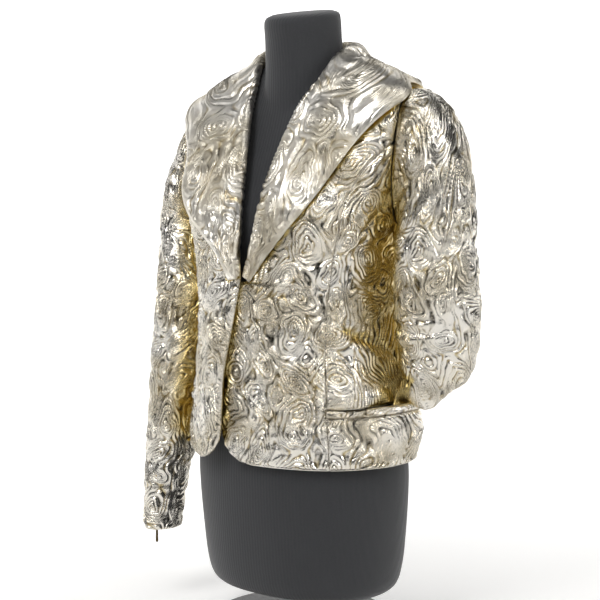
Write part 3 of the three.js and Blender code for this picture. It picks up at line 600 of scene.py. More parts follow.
def shell_faces(rows, columns, back_rows, back_columns, closed):
    """The face, the back and the rims between them."""
    first = rows * columns
    fine = np.arange(first).reshape(rows, columns)
    under = np.arange(back_rows * back_columns).reshape(back_rows, back_columns) + first
    faces = grid_faces(0, rows, columns, closed) + grid_faces(first, back_rows, back_columns, closed, True)
    faces += rim_faces(fine[0], under[0], closed)
    faces += [f[::-1] for f in rim_faces(fine[-1], under[-1], closed)]
    if not closed:
        faces += [f[::-1] for f in rim_faces(fine[:, 0], under[:, 0], False)]
        faces += rim_faces(fine[:, -1], under[:, -1], False)
    return faces


def shell(name, base, relief, sewn, thickness=CLOTH, closed=False, foil=FOIL):
    """A closed shell of cloth over a base grid, pushed out by relief, with a plain back."""
    out = across_tube(base) if closed else across_grid(base)
    wide = slice(None, None, COARSE)
    face = tilted(base + out * relief[..., None])
    back = tilted((base - out * np.broadcast_to(thickness, relief.shape)[..., None])[wide, wide])
    (rows, columns), (back_rows, back_columns) = face.shape[:2], back.shape[:2]
    faces = shell_faces(rows, columns, back_rows, back_columns, closed)
    made = mesh_object(name, np.concatenate([face.reshape(-1, 3), back.reshape(-1, 3)]), faces, foil)
    # How much other cloth fills each place's view: the mask of the foil's painted gold reflection.
    painted_reflection = spread_out(enclosed(tilted(base[wide, wide]), out[wide, wide]), rows, columns, closed)
    painted_reflection = np.concatenate([painted_reflection.reshape(-1), np.full(back_rows * back_columns, INSIDE)])
    sewn = np.concatenate([sewn.reshape(-1, 3), np.zeros((back_rows * back_columns, 3))])
    for key, values in zip(("painted_reflection", "stitch", "across", "along"), (painted_reflection, *sewn.T)):
        made.data.attributes.new(key, "FLOAT", "POINT").data.foreach_set("value", values.astype(np.float32))
    return keep(made)


# %% [markdown]
# ## Fronts, sides and back
#
# A panel lies between two edges, each an angle that changes with height, and its columns are
# spread evenly between them. The cloth dips into each seam, and along the open front and the hem
# it is turned under, so it is thicker and rounds over. A hand in the left pocket would push the
# cloth up: a pillow stands above the pocket, with a crease at the waist over it, gathers along
# its seam and close pleats that fan out from its back corner. Round the snap the stitching runs
# in rings.


# %% Edges of the panels
def princess(z):
    return PRINCESS(z)["angle"]


def front_edge(z, side):
    low = np.clip((HEM + CORNER_TALL - z) / CORNER_TALL, 0, 1)
    corner = CORNER_WIDE * (1 - np.sqrt(1 - low * low))
    if side < 0:
        above = SEAMS(z)["angle"] - LAP_SHIFT * ease(z, 545, BREAK)
        return np.where(z < BREAK, RIGHT_EDGE(z)["angle"] + corner, above)
    return mix(UNDERLAP + corner, SEAMS(z)["angle"], ease(z, BREAK - 6, BREAK))


def at_shoulder(z, side):
    """The armhole's front (-1) or back (1) edge, and above it the shoulder seam."""
    hole = arm_middle(z) + side * arm_spread(z)
    seam = mix(ARMHOLE_TOP, SHOULDER_SEAM, ease(z, SHOULDER, SHOULDER + 14))
    return np.where(z < SHOULDER, hole, seam)


def front_outer(z):
    return np.where(z < JUNCTION, princess(z), at_shoulder(z, -1))


def back_outer(z):
    return np.where(z < UNDERARM, SIDE_SEAM, at_shoulder(z, 1))


def side_outer(z):
    return np.where(z < UNDERARM, SIDE_SEAM, arm_middle(z) - arm_spread(z))


OUTER_EDGE = track("z", [(row[6], row[7]) for row in COLLAR_ROWS])


def uncovered(angle, z):
    """1 on open cloth and 0 under the collar, where the quilting lies pressed flat."""
    cover = np.abs(np.where(angle > 180, 360 - angle, angle))
    return 1 - ease(z - OUTER_EDGE(cover)["z"], -4, 10)


# %% Pillow, pleats and the snap's ring
SNAP_ANGLE, SNAP_Z = -4.3, 371.0
SNAP_RING, SNAP_PITCH = 12, 5.2  # the first ring's radius, and from ring to ring
FAN_ANGLE, FAN_Z = 101, 326  # the pocket's back corner
FAN_PITCH = 5  # degrees from pleat to pleat
GATHER_PITCH = 4.4


def pocket_pillow(angle, z):
    """The cloth above the left pocket, which the hand inside pushes up into a pillow."""
    crease = 432 - 1.1 * (angle - 62)
    fold = 6 * hill(z, crease - 17, 12) - 6 * hill(z, crease + 2, 9)
    pillow = 8 * hill(angle, 77, 10) * hill(z, 345, 20) - 3 * hill(angle, 84, 9) * hill(z, 385, 14)
    return pillow + fold * ease(angle, 53, 68)


def round_snap(angle, z):
    """Rings round the snap, in place of the swirls: the relief, the sewing and the share."""
    across, up = (angle - SNAP_ANGLE) * FRONT_DEGREE, z - SNAP_Z
    far = np.hypot(across, up)
    ridge = np.abs(np.cos(np.pi * (far - SNAP_RING) / SNAP_PITCH)) ** 1.4
    sewn = point(1 - ridge, far, far * np.arctan2(up, across))
    return 2.8 * ridge * ease(far, 7, 9.5), sewn, 1 - ease(far, 17, 23)


def pocket_fan(angle, z):
    """Close pleats that run out of the pocket's back corner, in place of the swirls."""
    across, up = (FAN_ANGLE - angle) * SIDE_DEGREE, z - FAN_Z
    far = np.hypot(across, up)
    turn = np.degrees(np.arctan2(up, across)) + 9 * np.sin(far / 34) + 2 * wobble(across, up, 40, 6)
    ridge = 0.5 + 0.5 * np.cos(np.radians(turn * 360 / FAN_PITCH))
    share = ease(turn, 33, 40) * ease(turn, 104, 92) * ease(far, 18, 30) * ease(far, 142, 112)
    return 2.4 * ridge * ease(far, 8, 60), point(1 - ridge, turn * 0.9, far), share


def pocket_gathers(angle, z):
    """Short upright gathers where the pillow's cloth is sewn to the pocket."""
    across = (angle - 78) * SIDE_DEGREE + 1.2 * wobble(angle * SIDE_DEGREE, z, 30, 9)
    ridge = 0.5 + 0.5 * np.cos(across * 2 * np.pi / GATHER_PITCH)
    share = ease(angle, 60, 66) * ease(angle, 96, 89) * ease(z, 364, 350)
    return 2.2 * ridge * ease(z, 368, 340), point(1 - ridge, across, z), share


# %% Panels
# Cells of the fine grid. The sides that are seen most have the finest.
FACE_CELL, RIGHT_CELL, SIDE_CELL, BACK_CELL = 1.25, 1.4, 1.8, 2.4
FAR = 99.0  # a distance that counts as no edge at all


def cell_count(length, size):
    return max(1, round(length / size / COARSE)) * COARSE


def row_heights(low, high, size):
    """Even rows, closer together at the hem, where the fronts' corners round off."""
    if low > HEM:
        return np.linspace(low, high, cell_count(high - low, size) + 1)
    swing = np.linspace(0, np.pi / 2, 5 * COARSE + 1)
    above = np.linspace(HEM + CORNER_TALL, high, cell_count(high - HEM - CORNER_TALL, size) + 1)
    return np.concatenate([HEM + CORNER_TALL * (1 - np.cos(swing)), above[1:]])


def panel(name, heights, start, end, side=1, offset=None, free=False, special=(), size=FACE_CELL):
    """A quilted panel of the body between two edges; it is free where its first edge is open."""
    low, high = heights
    z = row_heights(low, high, size)[:, None]
    gap = np.degrees(SEAM_GAP / 2 / reach(JACKET(z), start(z)))
    first, last = start(z) + gap, end(z) - gap
    wide = np.radians(last - first) * reach(JACKET(z), (first + last) / 2)
    u = np.linspace(0, 1, cell_count(wide.max(), size) + 1)[None, :]
    u = u if side > 0 else 1 - u
    angle = side * mix(first, last, u)
    z = np.broadcast_to(z, angle.shape)
    base = skin(angle, z)
    if offset is not None:
        base = base + normal(angle, z) * offset(angle, z)[..., None]
    to_start, to_end, to_low, to_high = u * wide, (1 - u) * wide, z - low, high - z
    hanging = z < BREAK + 2 if free else np.zeros(z.shape, bool)
    open_edge = np.minimum(to_low if low <= HEM else FAR, np.where(hanging, to_start, FAR))
    seam = np.minimum(np.minimum(np.where(hanging, FAR, to_start), to_end), to_high)
    if low > HEM:
        seam = np.minimum(seam, to_low)
    nearest = np.minimum(seam, open_edge)
    puff, ridge, sewn = quilting(angle * DEGREE, z)
    for own in special:
        own_ridge, own_sewn, share = own(angle, z)
        puff, ridge = puff * (1 - share), mix(ridge, own_ridge, share)
        sewn = mix(sewn, own_sewn, share[..., None])
    seen = uncovered(angle, z)
    relief = puff * ease(nearest, 0, 14) * seen + ridge * ease(nearest, 0.6, 4) * mix(0.3, 1, seen)
    relief = relief - 1.1 * hill(seam, 0, 1.5)
    relief = relief + 1.3 * hill(open_edge, 6, 4.5) - 1.8 * hill(open_edge, 0, 2.2)
    thickness = CLOTH + 2.4 * hill(open_edge, 2, 7)
    return shell(name, base, relief, faded(sewn, ease(nearest, 0, 3)), thickness)


def left_side_offset(angle, z):
    return above_cuff(angle, z) + pocket_pillow(angle, z)


def right_edge(z):
    return front_edge(z, -1)


def left_edge(z):
    return front_edge(z, 1)


def back_edge(z):
    return 360 - back_outer(z)


def side_seam(z):
    return SIDE_SEAM + 0 * z


WHOLE, UPPER, LOWER = (HEM, NECK), (POCKET, JUNCTION - 5), (HEM, POCKET - WELT - SEAM_GAP)
PLEATS = [pocket_fan, pocket_gathers]
panel("back_panel", WHOLE, back_outer, back_edge, offset=below_cuff, size=BACK_CELL)
panel("left_front", WHOLE, left_edge, front_outer, offset=hip, free=True, special=[round_snap])
panel("left_side_front", UPPER, princess, side_outer, offset=left_side_offset, special=PLEATS)
panel("left_lower_front", LOWER, princess, side_seam, offset=below_cuff)
panel("right_front", WHOLE, right_edge, front_outer, -1, offset=stand_off, free=True, size=RIGHT_CELL)
panel("right_side_front", UPPER, princess, side_outer, -1, size=SIDE_CELL)
panel("right_lower_front", LOWER, princess, side_seam, -1, size=SIDE_CELL)

# %% [markdown]
# ## Pocket welts
#
# A welt is a folded strip sewn over the lower lip of the pocket. It stands a little proud of the
# front, so its section is a half round, and its own quilting is pressed almost flat.


# %% Welts
WELT_LENGTH = 140


def welt(name, side):
    z = np.linspace(POCKET - WELT, POCKET - SEAM_GAP, 2 * COARSE + 1)[:, None]
    first, last = princess(z) + 0.1, SIDE_SEAM - 0.1
    u = np.linspace(0, 1, cell_count(WELT_LENGTH, 1.7) + 1)[None, :]
    angle = side * mix(first, last, u if side > 0 else 1 - u)
    z = np.broadcast_to(z, angle.shape)
    base = skin(angle, z) + normal(angle, z) * below_cuff(angle, z)[..., None]
    share = (z - POCKET + WELT) / (WELT - SEAM_GAP)
    end = np.minimum(u, 1 - u) * WELT_LENGTH
    proud = 3.4 * np.clip(1 - (2 * share - 1) ** 2, 0, 1) ** 0.4
    _, ridge, sewn = quilting(angle * DEGREE, z + 3 * wobble(angle * DEGREE, z, 45, 8))
    pressed = 1.4 * ridge * ease(np.minimum(share, 1 - share), 0.05, 0.3)
    return shell(name, base, (proud + pressed) * ease(end, -3, 2) - 0.6, sewn)


welt("left_welt", 1)
welt("right_welt", -1)

# %% [markdown]
# ## The shawl collar
#
# The collar stands up from the neck seam, rolls over and falls back on the jacket. Its centre
# line is worked out at a few points of a section: the seam, both sides of the fold, and places
# down the fall. A smooth curve joins them, and cloth of two layers is laid on both sides of it.

# %% Collar
COLLAR_WALL, COLLAR_STAND = 5.0, 2.8
COLLAR_GAP, COLLAR_CLEAR, COLLAR_SHOULDER, COLLAR_TIP = 0.55, 2.2, 1.4, 0.8
FALL = (0.12, 0.26, 0.42, 0.58, 0.72, 0.84, 0.94, 1)


def dot(a, b):
    return (a * b).sum(-1, keepdims=True)


def collar_path(s, side):
    """The points of each section: places, half the wall there, and how far down the fall."""
    row = COLLAR(s)
    shift = LAP_SHIFT * ease(row["seam_z"], 545, BREAK) if side < 0 else 0 * s
    thick = mix(0.5, 1, ease(s, 0, 0.2))
    radius = reach(JACKET(row["seam_z"]), row["seam"])
    start = row["seam"] - shift

    def off(angle, z):
        return stand_off(-angle, z) if side < 0 else 0 * z

    lift = off(start - np.degrees(COLLAR_GAP / radius), row["seam_z"])

    def foot(gap):
        angle = start - np.degrees(gap / radius)
        z = row["seam_z"] + ease(row["seam_z"], NECK - 12, NECK - 1)
        return skin(angle, z) + normal(angle, z) * (lift - CLOTH / 2)[:, None]

    roll = point(row["x"] - np.radians(shift) * 130, row["y"] - lift, row["z"])
    up = unit(roll - foot(COLLAR_GAP))
    face = normal(row["seam"], row["seam_z"])
    away = unit(face - up * dot(face, up))
    stand = COLLAR_STAND / 2 * thick
    turned = np.clip(dot(away, on_ray(row["seam"] + 90, 1, 0))[:, 0], 0, None)
    seam = foot(COLLAR_GAP + turned * stand + 1 - thick)
    fold = (mix(3.6, 6.5, ease(s, 0.85, 1.3)) * thick)[:, None]
    places = [seam, roll - away * fold - up * fold, roll, roll + away * fold - up * fold]
    halves = [stand, stand, stand, COLLAR_WALL / 2 * thick]
    for v in FALL:
        angle, z = mix(start, row["edge"], v), mix(row["seam_z"], row["edge_z"], v)
        least = COLLAR_CLEAR + COLLAR_SHOULDER * hill(s, 0.97, 0.1)
        clear = row["off" if side < 0 else "lift"] * ease(v, 0.1, 1) + least * thick
        out = COLLAR_TIP + clear + COLLAR_WALL / 2 * thick + off(angle, z)
        places.append(skin(angle, z) + normal(angle, z) * out[:, None])
        halves.append(COLLAR_WALL / 2 * thick)
    down = [-0.2, -0.1, -0.05, 0.02, *FALL]
    return np.stack(places, 1), np.stack(halves, 1), np.array(down)


def along_path(places, values, down, count):
    """Even samples on a smooth curve through each section's points."""
    step = np.linalg.norm(np.diff(places, axis=1), axis=-1)
    at = np.concatenate([np.zeros((len(step), 1)), np.cumsum(step, 1)], 1)
    slope = slopes(at, places)
    x = at[:, -1:] * np.linspace(0, 1, count)[None, :]
    k = np.clip((at[:, None, :] <= x[:, :, None]).sum(-1) - 1, 0, at.shape[1] - 2)
    r = np.arange(len(at))[:, None]
    span = at[r, k + 1] - at[r, k]
    flat = (x - at[r, k]) / span
    t, span = flat[..., None], span[..., None]
    path = curve(places[r, k], places[r, k + 1], slope[r, k] * span, slope[r, k + 1] * span, t)
    return path, mix(values[r, k], values[r, k + 1], flat), mix(down[k], down[k + 1], flat), at[:, -1:] - x


def collar(name, side):
    s = np.linspace(0, 2 - SEAM_GAP / 200, cell_count(560, 1.5) + 1)
    places, halves, down = collar_path(s, side)
    middle, half, v, to_edge = along_path(places, halves, down, cell_count(125, 1.35) + 1)
    grid_s = np.broadcast_to(s[:, None], v.shape)
    ends = ease(grid_s, 0, 0.12) * ease(2 - grid_s, 0, 0.03)
    puff, ridge, sewn = quilting(grid_s * 230, v * 90)
    band = ease(to_edge, 3, 8)
    rounded = np.sqrt(np.clip(1 - (1 - np.clip(to_edge / 3.2, 0, 1)) ** 2, 0.002, 1))
    swell = puff * ease(1 - v, 0, 0.15) * ease(v, -0.05, 0.15)
    swell = swell + 1.15 * ridge * band * mix(0.5, 1, ease(v, -0.1, 0.05))
    half, sewn = half * rounded, faded(sewn, 0.9 * band)
    relief = half + swell * ends - 1.2 * hill(2 - grid_s, 0, 0.006)
    if side < 0:
        middle, relief, sewn, half = (a[:, ::-1] for a in (middle * (-1, 1, 1), relief, sewn, half))
    return shell(name, middle, relief, sewn, half, foil=PRESSED_FOIL)


collar("left_collar", 1)
collar("right_collar", -1)

# %% [markdown]
# ## Sleeves
#
# A sleeve is cut as a tube that tapers to the wrist. Its head is eased into the armhole, so it
# springs out and then falls. The left arm is bent, so the cloth breaks into folds inside the
# elbow, and its cuff is pushed into the pocket. There the sleeve sags over the pocket's back end
# and lies a little further back than its solid. The right one hangs down and ends open.


# %% Sleeve shapes
HEAD_END, HEAD_DOWN, HEAD_INSET, RING_LEAN = 548.0, 0.9, 0.3, 0.3
LEFT_CUFF, RIGHT_CUFF = 292.0, 113.0
LEFT_ARM = track("x y wide deep", [
    (548, 220, 14, 48, 59), (505, 218, 20, 50.5, 61), (465, 214, 26, 54, 62), (430, 212, 32, 53, 60),
    (398, 210, 34, 48, 54), (372, 204, 31, 38, 45), (351, 187, 26, 17, 33), (337, 171.5, 13, 7.6, 20),
    (326, 169.5, 8, 7, 19), (308, 168, 2, 7, 19), (292, 167.5, 0, 7, 19),
])
RIGHT_ARM = track("x y wide deep", [
    (548, 212, 6, 43, 54), (500, 206, -3, 45, 54), (447, 202, -14, 44, 53), (375, 204, -28, 40, 49),
    (300, 208, -41, 35, 42), (230, 212, -52, 30, 36), (170, 214, -60, 25, 32), (113, 214.5, -66, 22, 30),
])
ZIP_TURN, ZIP_LENGTH = 24, 112
# Along the cloth of a sleeve: over its head, for the quilting and for the grid, and round it.
HEAD_LENGTH, HEAD_SPAN, GIRTH = 170, 165, 340


def arm_frame(arm, z):
    """A ring's sizes, and the directions down the arm, outwards and back."""
    ring, above, below = arm(z), arm(z + 2), arm(z - 2)
    down = unit(point(RING_LEAN * (below["x"] - above["x"]), RING_LEAN * (below["y"] - above["y"]), -4.0))
    across = unit(point(1, 0, 0) - down * down[..., :1])
    return ring, down, across, np.cross(across, down)


def arm_point(arm, turn, z, out=0.0):
    """On a sleeve: turn is 0 on the outside, 90 at the back and 180 towards the body."""
    ring, down, across, along = arm_frame(arm, z)
    side = ((ring["wide"] + out) * np.cos(np.radians(turn)))[..., None]
    back = ((ring["deep"] + out) * np.sin(np.radians(turn)))[..., None]
    return point(ring["x"], ring["y"], z) + across * side + along * back


def head_point(arm, turn, t, spring):
    """The head, from just inside the armhole (t = 0) down to the arm's first ring (t = 1)."""
    up = np.cos(np.radians(turn))
    tall = (SHOULDER - UNDERARM) / 2
    z = mix(UNDERARM, SHOULDER, 0.5 + 0.5 * up) - HEAD_INSET * up * (tall - HEAD_INSET) / tall
    edge = np.maximum(0, arm_spread(z) - HEAD_INSET / 2.8)
    angle = arm_middle(z) + edge * np.sin(np.radians(turn)).clip(-1e-9, 1e-9) * 1e9
    face = normal(angle, z)
    start = skin(angle, z) - face * 0.2
    leave = unit(0.4 * face + np.array((0.6, 0, -0.05)))
    end = arm_point(arm, turn, np.full(turn.shape, HEAD_END))
    span = np.linalg.norm(end - start, axis=-1, keepdims=True)
    down = arm_frame(arm, np.array(HEAD_END))[1]
    return curve(start, end, leave * spring * span, down * HEAD_DOWN * span, t[..., None])


def between(turn, middle):
    """From one turn to another the short way round."""
    return (turn - middle + 180) % 360 - 180


def elbow_folds(turn, z):
    """How deep the bent left sleeve folds in, and how far it sags down over the pocket."""
    inside = np.maximum(0, np.cos(np.radians(turn - 255))) ** 1.5
    bend = z + 6 * np.sin(np.radians(2 * turn))
    fine = 1.6 * hill(bend, 452, 4) - 1.8 * hill(bend, 425, 4) + 1.5 * hill(bend, 399, 4)
    folded = inside * (5 * hill(z, 466, 9) + 6 * hill(z, 438, 9) + 4 * hill(z, 412, 9) + fine)
    swollen = 6 * hill(between(turn, 40), 0, 60) * hill(z, 372, 22)
    sagged = 20 * hill(between(turn, 0), 0, 80) * hill(z, 348, 8.5)
    return folded - swollen, sagged


def hanging_folds(turn, z):
    """Long shallow waves in the sleeve that hangs, which sags nowhere."""
    return 1.3 * np.sin(np.radians(3 * turn) + z / 60) * ease(z, 150, 260) * ease(z, 600, 480), 0 * z


# %% Sleeves
def sleeve(name, arm, cuff, side, spring, folds, clear, size):
    arm_z = np.linspace(cuff, HEAD_END, cell_count(HEAD_END - cuff, size) + 1)
    t = np.concatenate([np.ones(len(arm_z)), np.linspace(1, 0, cell_count(HEAD_SPAN, size) + 1)[1:]])
    z = np.concatenate([arm_z, np.full(len(t) - len(arm_z), HEAD_END)])
    turn = np.linspace(0, 360, cell_count(GIRTH, size), endpoint=False)
    turn, z = np.meshgrid(turn, z)
    t = np.broadcast_to(t[:, None], z.shape)
    rows = len(arm_z)
    pushed, dropped = folds(turn[:rows], z[:rows])
    base = np.concatenate([
        arm_point(arm, turn[:rows], z[:rows], -pushed) - point(0, 0, dropped),
        head_point(arm, turn[rows:], t[rows:], spring),
    ])
    length = z + (1 - t) * HEAD_LENGTH
    around = arm(z)["deep"] * np.radians((turn + 180) % 360)
    puff, ridge, sewn = quilting(around, length)
    to_seam = np.abs(turn - 180) * np.radians(1) * arm(z)["deep"]
    puff = puff * ease(length - cuff, 0, 14) * ease(t, 0, 0.25) * ease(to_seam, 2, 18)
    ridge = ridge * ease(to_seam, 1, 5) * ease(t, 0, 0.06)
    relief = (puff + ridge) * clear(turn, z) - 1.1 * hill(to_seam, 0, 1.8)
    relief = relief * ease(length - cuff, 0, 3) - 0.9 * hill(length, cuff, 2)
    if side < 0:
        base, relief, sewn = base[:, ::-1] * (-1, 1, 1), relief[:, ::-1], sewn[:, ::-1]
    return shell(name, base, relief, sewn, closed=True)


def clear_of_pocket(turn, z):
    return ease(z, 338, 356)


def clear_of_zip(turn, z):
    return 1 - ease(z - RIGHT_CUFF - ZIP_LENGTH, 20, 5) * hill(turn, ZIP_TURN, 22)


sleeve("left_sleeve", LEFT_ARM, LEFT_CUFF, 1, 1.15, elbow_folds, clear_of_pocket, 1.35)
sleeve("right_sleeve", RIGHT_ARM, RIGHT_CUFF, -1, 0.3, hanging_folds, clear_of_zip, 1.6)

# %% [markdown]
# ## The dress form
#
# Its cover is one smooth closed surface, like a real form's jersey over a papier-mache shell.
# The torso and the neck are two sets of rings, blended where they meet, and the neck slopes up
# towards the back. The lower edge rolls in over the base board.

# %% Dress form
FORM = track(RING, [
    (50, 120, 84, 94, 2.2), (53, 131, 93, 103, 2.2), (62, 141, 101, 112, 2.2), (80, 147, 107, 118, 2.2),
    (115, 152, 112, 122, 2.2), (210, 160, 119, 121, 2.2), (260, 158, 118, 115, 2.2),
    (310, 149, 115, 104, 2.2), (360, 137, 110, 92, 2.2), (410, 125, 106, 82, 2.2),
    (450, 122, 104, 79, 2.2), (500, 128, 104, 81, 2.3), (545, 137, 101, 86, 2.4),
    (590, 146, 94, 92, 2.5), (630, 156, 80, 96, 2.7), (670, 166, 65, 96, 2.8), (700, 172, 54, 92, 2.8),
    (722, 173, 46, 85, 2.5), (738, 168, 38, 77, 2.3), (752, 155, 31, 70, 2.2), (766, 127, 23, 62, 2.1),
    (778, 99, 15, 54, 2.0), (788, 77, 8, 48, 2.0), (800, 40, 5, 30, 2.0),
])
FORM_NECK = track(RING, [
    (690, 58, 40, 60, 2), (740, 57, 46, 62, 2), (770, 56, 46, 60, 2), (800, 55, 48, 57, 2),
    (825, 54, 51, 54, 2), (850, 53, 55, 51, 2), (857, 50, 52, 48, 2), (860, 43, 45, 40, 2),
])
FORM_BUST = {"angle": 38, "z": 590, "spread": 22, "tall": 52, "rise": 14}
NECK_BLEND, NECK_TILT = 16, 0.12


def form_cover(columns=120):
    z = np.concatenate([np.linspace(50, 62, 9), np.linspace(67, 842, 156), np.linspace(846, 860, 15)])
    turn, z = np.meshgrid(np.arange(columns) * 360 / columns - 180, z)
    torso = np.where(z < 800, reach(FORM(z), turn) + bump(FORM_BUST, turn, z), 0)
    neck = np.where(z > 690, reach(FORM_NECK(z), turn), 0)
    far = (torso**NECK_BLEND + neck**NECK_BLEND) ** (1 / NECK_BLEND)
    points = on_ray(turn, far, z)
    points[..., 2] += NECK_TILT * points[..., 1] * ease(z, 800, 850)
    rows = len(points)
    points = tilted(points)
    centres = [points[0].mean(0), points[-1].mean(0)]
    faces = grid_faces(0, rows, columns, True)
    low, high = rows * columns, rows * columns + 1
    for i in range(columns):
        n = (i + 1) % columns
        faces.append((n, i, low))
        faces.append(((rows - 1) * columns + i, (rows - 1) * columns + n, high))
    points = np.concatenate([points.reshape(-1, 3), centres])
    return keep(mesh_object("dress_form_cover", points, faces, JERSEY))


print("form:", len(form_cover().data.polygons), "faces")

# %% [markdown]
# ## Stand, snap and zip
#
# The stand is turned metal, so its parts are profiles spun round an axis. So is the snap: a
# socket with a rolled rim and a domed middle. The zip at the right cuff has teeth 2 mm apart and
# a slider, and a tab hangs from the slider's bridge.


# %% Turned parts and bars
def turned(name, profile, material, slot_name, place=None, sides=64):
    """A profile of (radius, height) in millimetres spun round z, then put in place."""
    turn = np.radians(np.arange(sides) * 360 / sides)
    radius, z = np.array(profile, float).T
    points = point(radius[:, None] * np.cos(turn), radius[:, None] * np.sin(turn), z[:, None]).reshape(-1, 3)
    if place is not None:
        axes, origin = place
        points = points @ axes + origin
    return keep(mesh_object(name, points, capped_tube(len(profile), sides), material))


def rounded(corners, radius, steps=6):
    """A profile whose corners (radius, height) are replaced with short arcs."""
    corners = np.array(corners, float)
    path = [corners[0]]
    for before, at, after in zip(corners, corners[1:], corners[2:]):
        a, b = at + unit(before - at) * radius, at + unit(after - at) * radius
        t = np.linspace(0, 1, steps + 1)[:, None]
        path += list(a * (1 - t) ** 2 + at * 2 * t * (1 - t) + b * t * t)
    return [tuple(p) for p in path] + [tuple(corners[-1])]


def turned_onto(direction):
    """Axes whose third points along a direction."""
    third = unit(direction)
    first = unit(np.cross((0, 0, 1), third))
    return np.stack([first, np.cross(third, first), third])


BASE_PROFILE = rounded([(0.5, 0), (125, 0), (125, 7), (118, 10), (14, 10), (0.5, 10)], 1.6)
POST_PROFILE = rounded([(0.5, 10.35), (11, 10.35), (11, 49.65), (0.5, 49.65)], 0.6)
turned("round_base_plate", BASE_PROFILE, PAINT, "stand_steel", sides=96)
turned("post_tube", POST_PROFILE, PAINT, "stand_steel")

SNAP_PROFILE = [
    (0.1, 0), (7.0, 0), (7.5, 0.4), (7.5, 1.1), (7.1, 1.7), (6.5, 1.8), (6.1, 1.5), (5.8, 1.6),
    (5.2, 2.3), (4.3, 3.2), (3.2, 4.0), (2.0, 4.4), (1.0, 4.55), (0.1, 4.6),
]
snap_face = normal(SNAP_ANGLE, SNAP_Z)
snap_place = skin(SNAP_ANGLE, SNAP_Z) + snap_face * (hip(SNAP_ANGLE, SNAP_Z) + 0.6)
turned("snap_socket", SNAP_PROFILE, SILVER_GILT, "brass", (turned_onto(snap_face), snap_place), 48)


# %% Zip at the right cuff
SLIDER_IN, SLIDER_THICK, PULL_IN = 2.85, 2.6, 6.95
PULL_TOP, PULL_LENGTH = RIGHT_CUFF + 4.5, 36
SLAB_EDGE = 0.15
TEETH, TOOTH_PITCH = 50, 2
TOOTH = [(-0.5, -0.6), (2.3, -0.6), (2.3, 0.6), (-0.5, 0.6)]


def on_cuff(across, z, out):
    """Places on the outside of the right cuff, in millimetres across the zip, up and outwards."""
    across, z, out = np.broadcast_arrays(*(np.asarray(part, float) for part in (across, z, out)))
    turn = np.full(z.shape, float(ZIP_TURN))
    low, high = arm_point(RIGHT_ARM, turn, z), arm_point(RIGHT_ARM, turn, z, 1.0)
    sideways = unit(np.cross(high - low, arm_frame(RIGHT_ARM, z)[1]))
    return (low + (high - low) * out[..., None] + sideways * across[..., None]) * (-1, 1, 1)


def capsule(wide_low, wide_high, low, high, steps=8):
    """An outline with two rounded ends of different widths."""
    turn = np.linspace(0, math.pi, steps + 1)
    up, down = wide_high / 2, wide_low / 2
    top = [(up * math.cos(a), high - up + up * math.sin(a)) for a in turn]
    return top + [(-down * math.cos(a), low + down - down * math.sin(a)) for a in turn]


def slab(name, outline, inner, thick, bevel, body=BODY):
    """A plate on the cuff: an outline of (across, height) whose two faces are drawn in a little."""
    outline = np.array(outline, float)
    middle, outer = outline.mean(0), inner + thick
    levels = [(inner, 1 - bevel), (inner + SLAB_EDGE, 1), (outer - SLAB_EDGE, 1), (outer, 1 - bevel)]
    rings = [on_cuff(*(middle + (outline - middle) * share).T, out) for out, share in levels]
    faces = capped_tube(len(levels), len(outline))
    return keep(mesh_object(name, np.concatenate(rings), faces, BRASS, smooth=False), body)


SLIDER = capsule(5.2, 7.0, RIGHT_CUFF, RIGHT_CUFF + 9)
BRIDGE = capsule(2.2, 2.2, RIGHT_CUFF + 1.2, RIGHT_CUFF + 8)
PULL = capsule(3.6, 2.6, PULL_TOP - PULL_LENGTH, PULL_TOP)
slab("zip_slider_body", SLIDER, SLIDER_IN, SLIDER_THICK, 0.08)
slab("zip_slider_bridge", BRIDGE, SLIDER_IN + SLIDER_THICK, 1.1, 0.1)
slab("zip_pull_tab", PULL, PULL_IN, 1.4, 0.12, body="zip_pull")


def zip_teeth():
    """Small blocks that reach from the left and the right in turn."""
    points, faces = [], []
    box = [(0, 3, 2, 1), (4, 5, 6, 7), (0, 1, 5, 4), (1, 2, 6, 5), (2, 3, 7, 6), (3, 0, 4, 7)]
    for k in range(TEETH):
        z, side = RIGHT_CUFF + 11 + TOOTH_PITCH * k, 1 if k % 2 else -1
        first = len(points)
        corners = [(x, up, out) for out in (2.6, 3.5) for x, up in TOOTH]
        points += [on_cuff(side * x, z + up, out) for x, up, out in corners]
        faces += [tuple(first + c for c in (f if side > 0 else f[::-1])) for f in box]
    return keep(mesh_object("zip_teeth", np.array(points), faces, BRASS, smooth=False))


zip_teeth()

# %% [markdown]
# ## What each piece stands for
#
# The plain solids stay in the simulator, and these finer pieces show in their place. The zip
# tape's own solid is right as it is, so it only gets a woven finish.

# %% Replace the plain solids
STANDS_FOR = {
    "back_panel": "back", "left_front": "front_left_centre", "right_front": "front_right_centre",
    "left_side_front": "front_left_side", "right_side_front": "front_right_side",
    "left_lower_front": "front_left_lower", "right_lower_front": "front_right_lower",
    "left_welt": "pocket_welt_left", "right_welt": "pocket_welt_right",
    "left_collar": "collar_left", "right_collar": "collar_right",
    "left_sleeve": "sleeve_left", "right_sleeve": "sleeve_right",
    "dress_form_cover": "dress_form", "round_base_plate": "stand_base", "post_tube": "stand_post",
    "snap_socket": "snap", "zip_slider_body": "zip_slider_right", "zip_pull_tab": "zip_pull_right",
}
for piece, node in STANDS_FOR.items():
    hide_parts(node)
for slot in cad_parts["zip_tape_right"].material_slots:
    slot.material = TAPE

# %% [markdown]
# ## Floor, light and camera
#
# The object stands on a pale floor that curves up behind it, as in a studio. Foil shows what it
# mirrors, so the light is a few large soft panels with darker gaps between them, and the world
# round them is patchy.


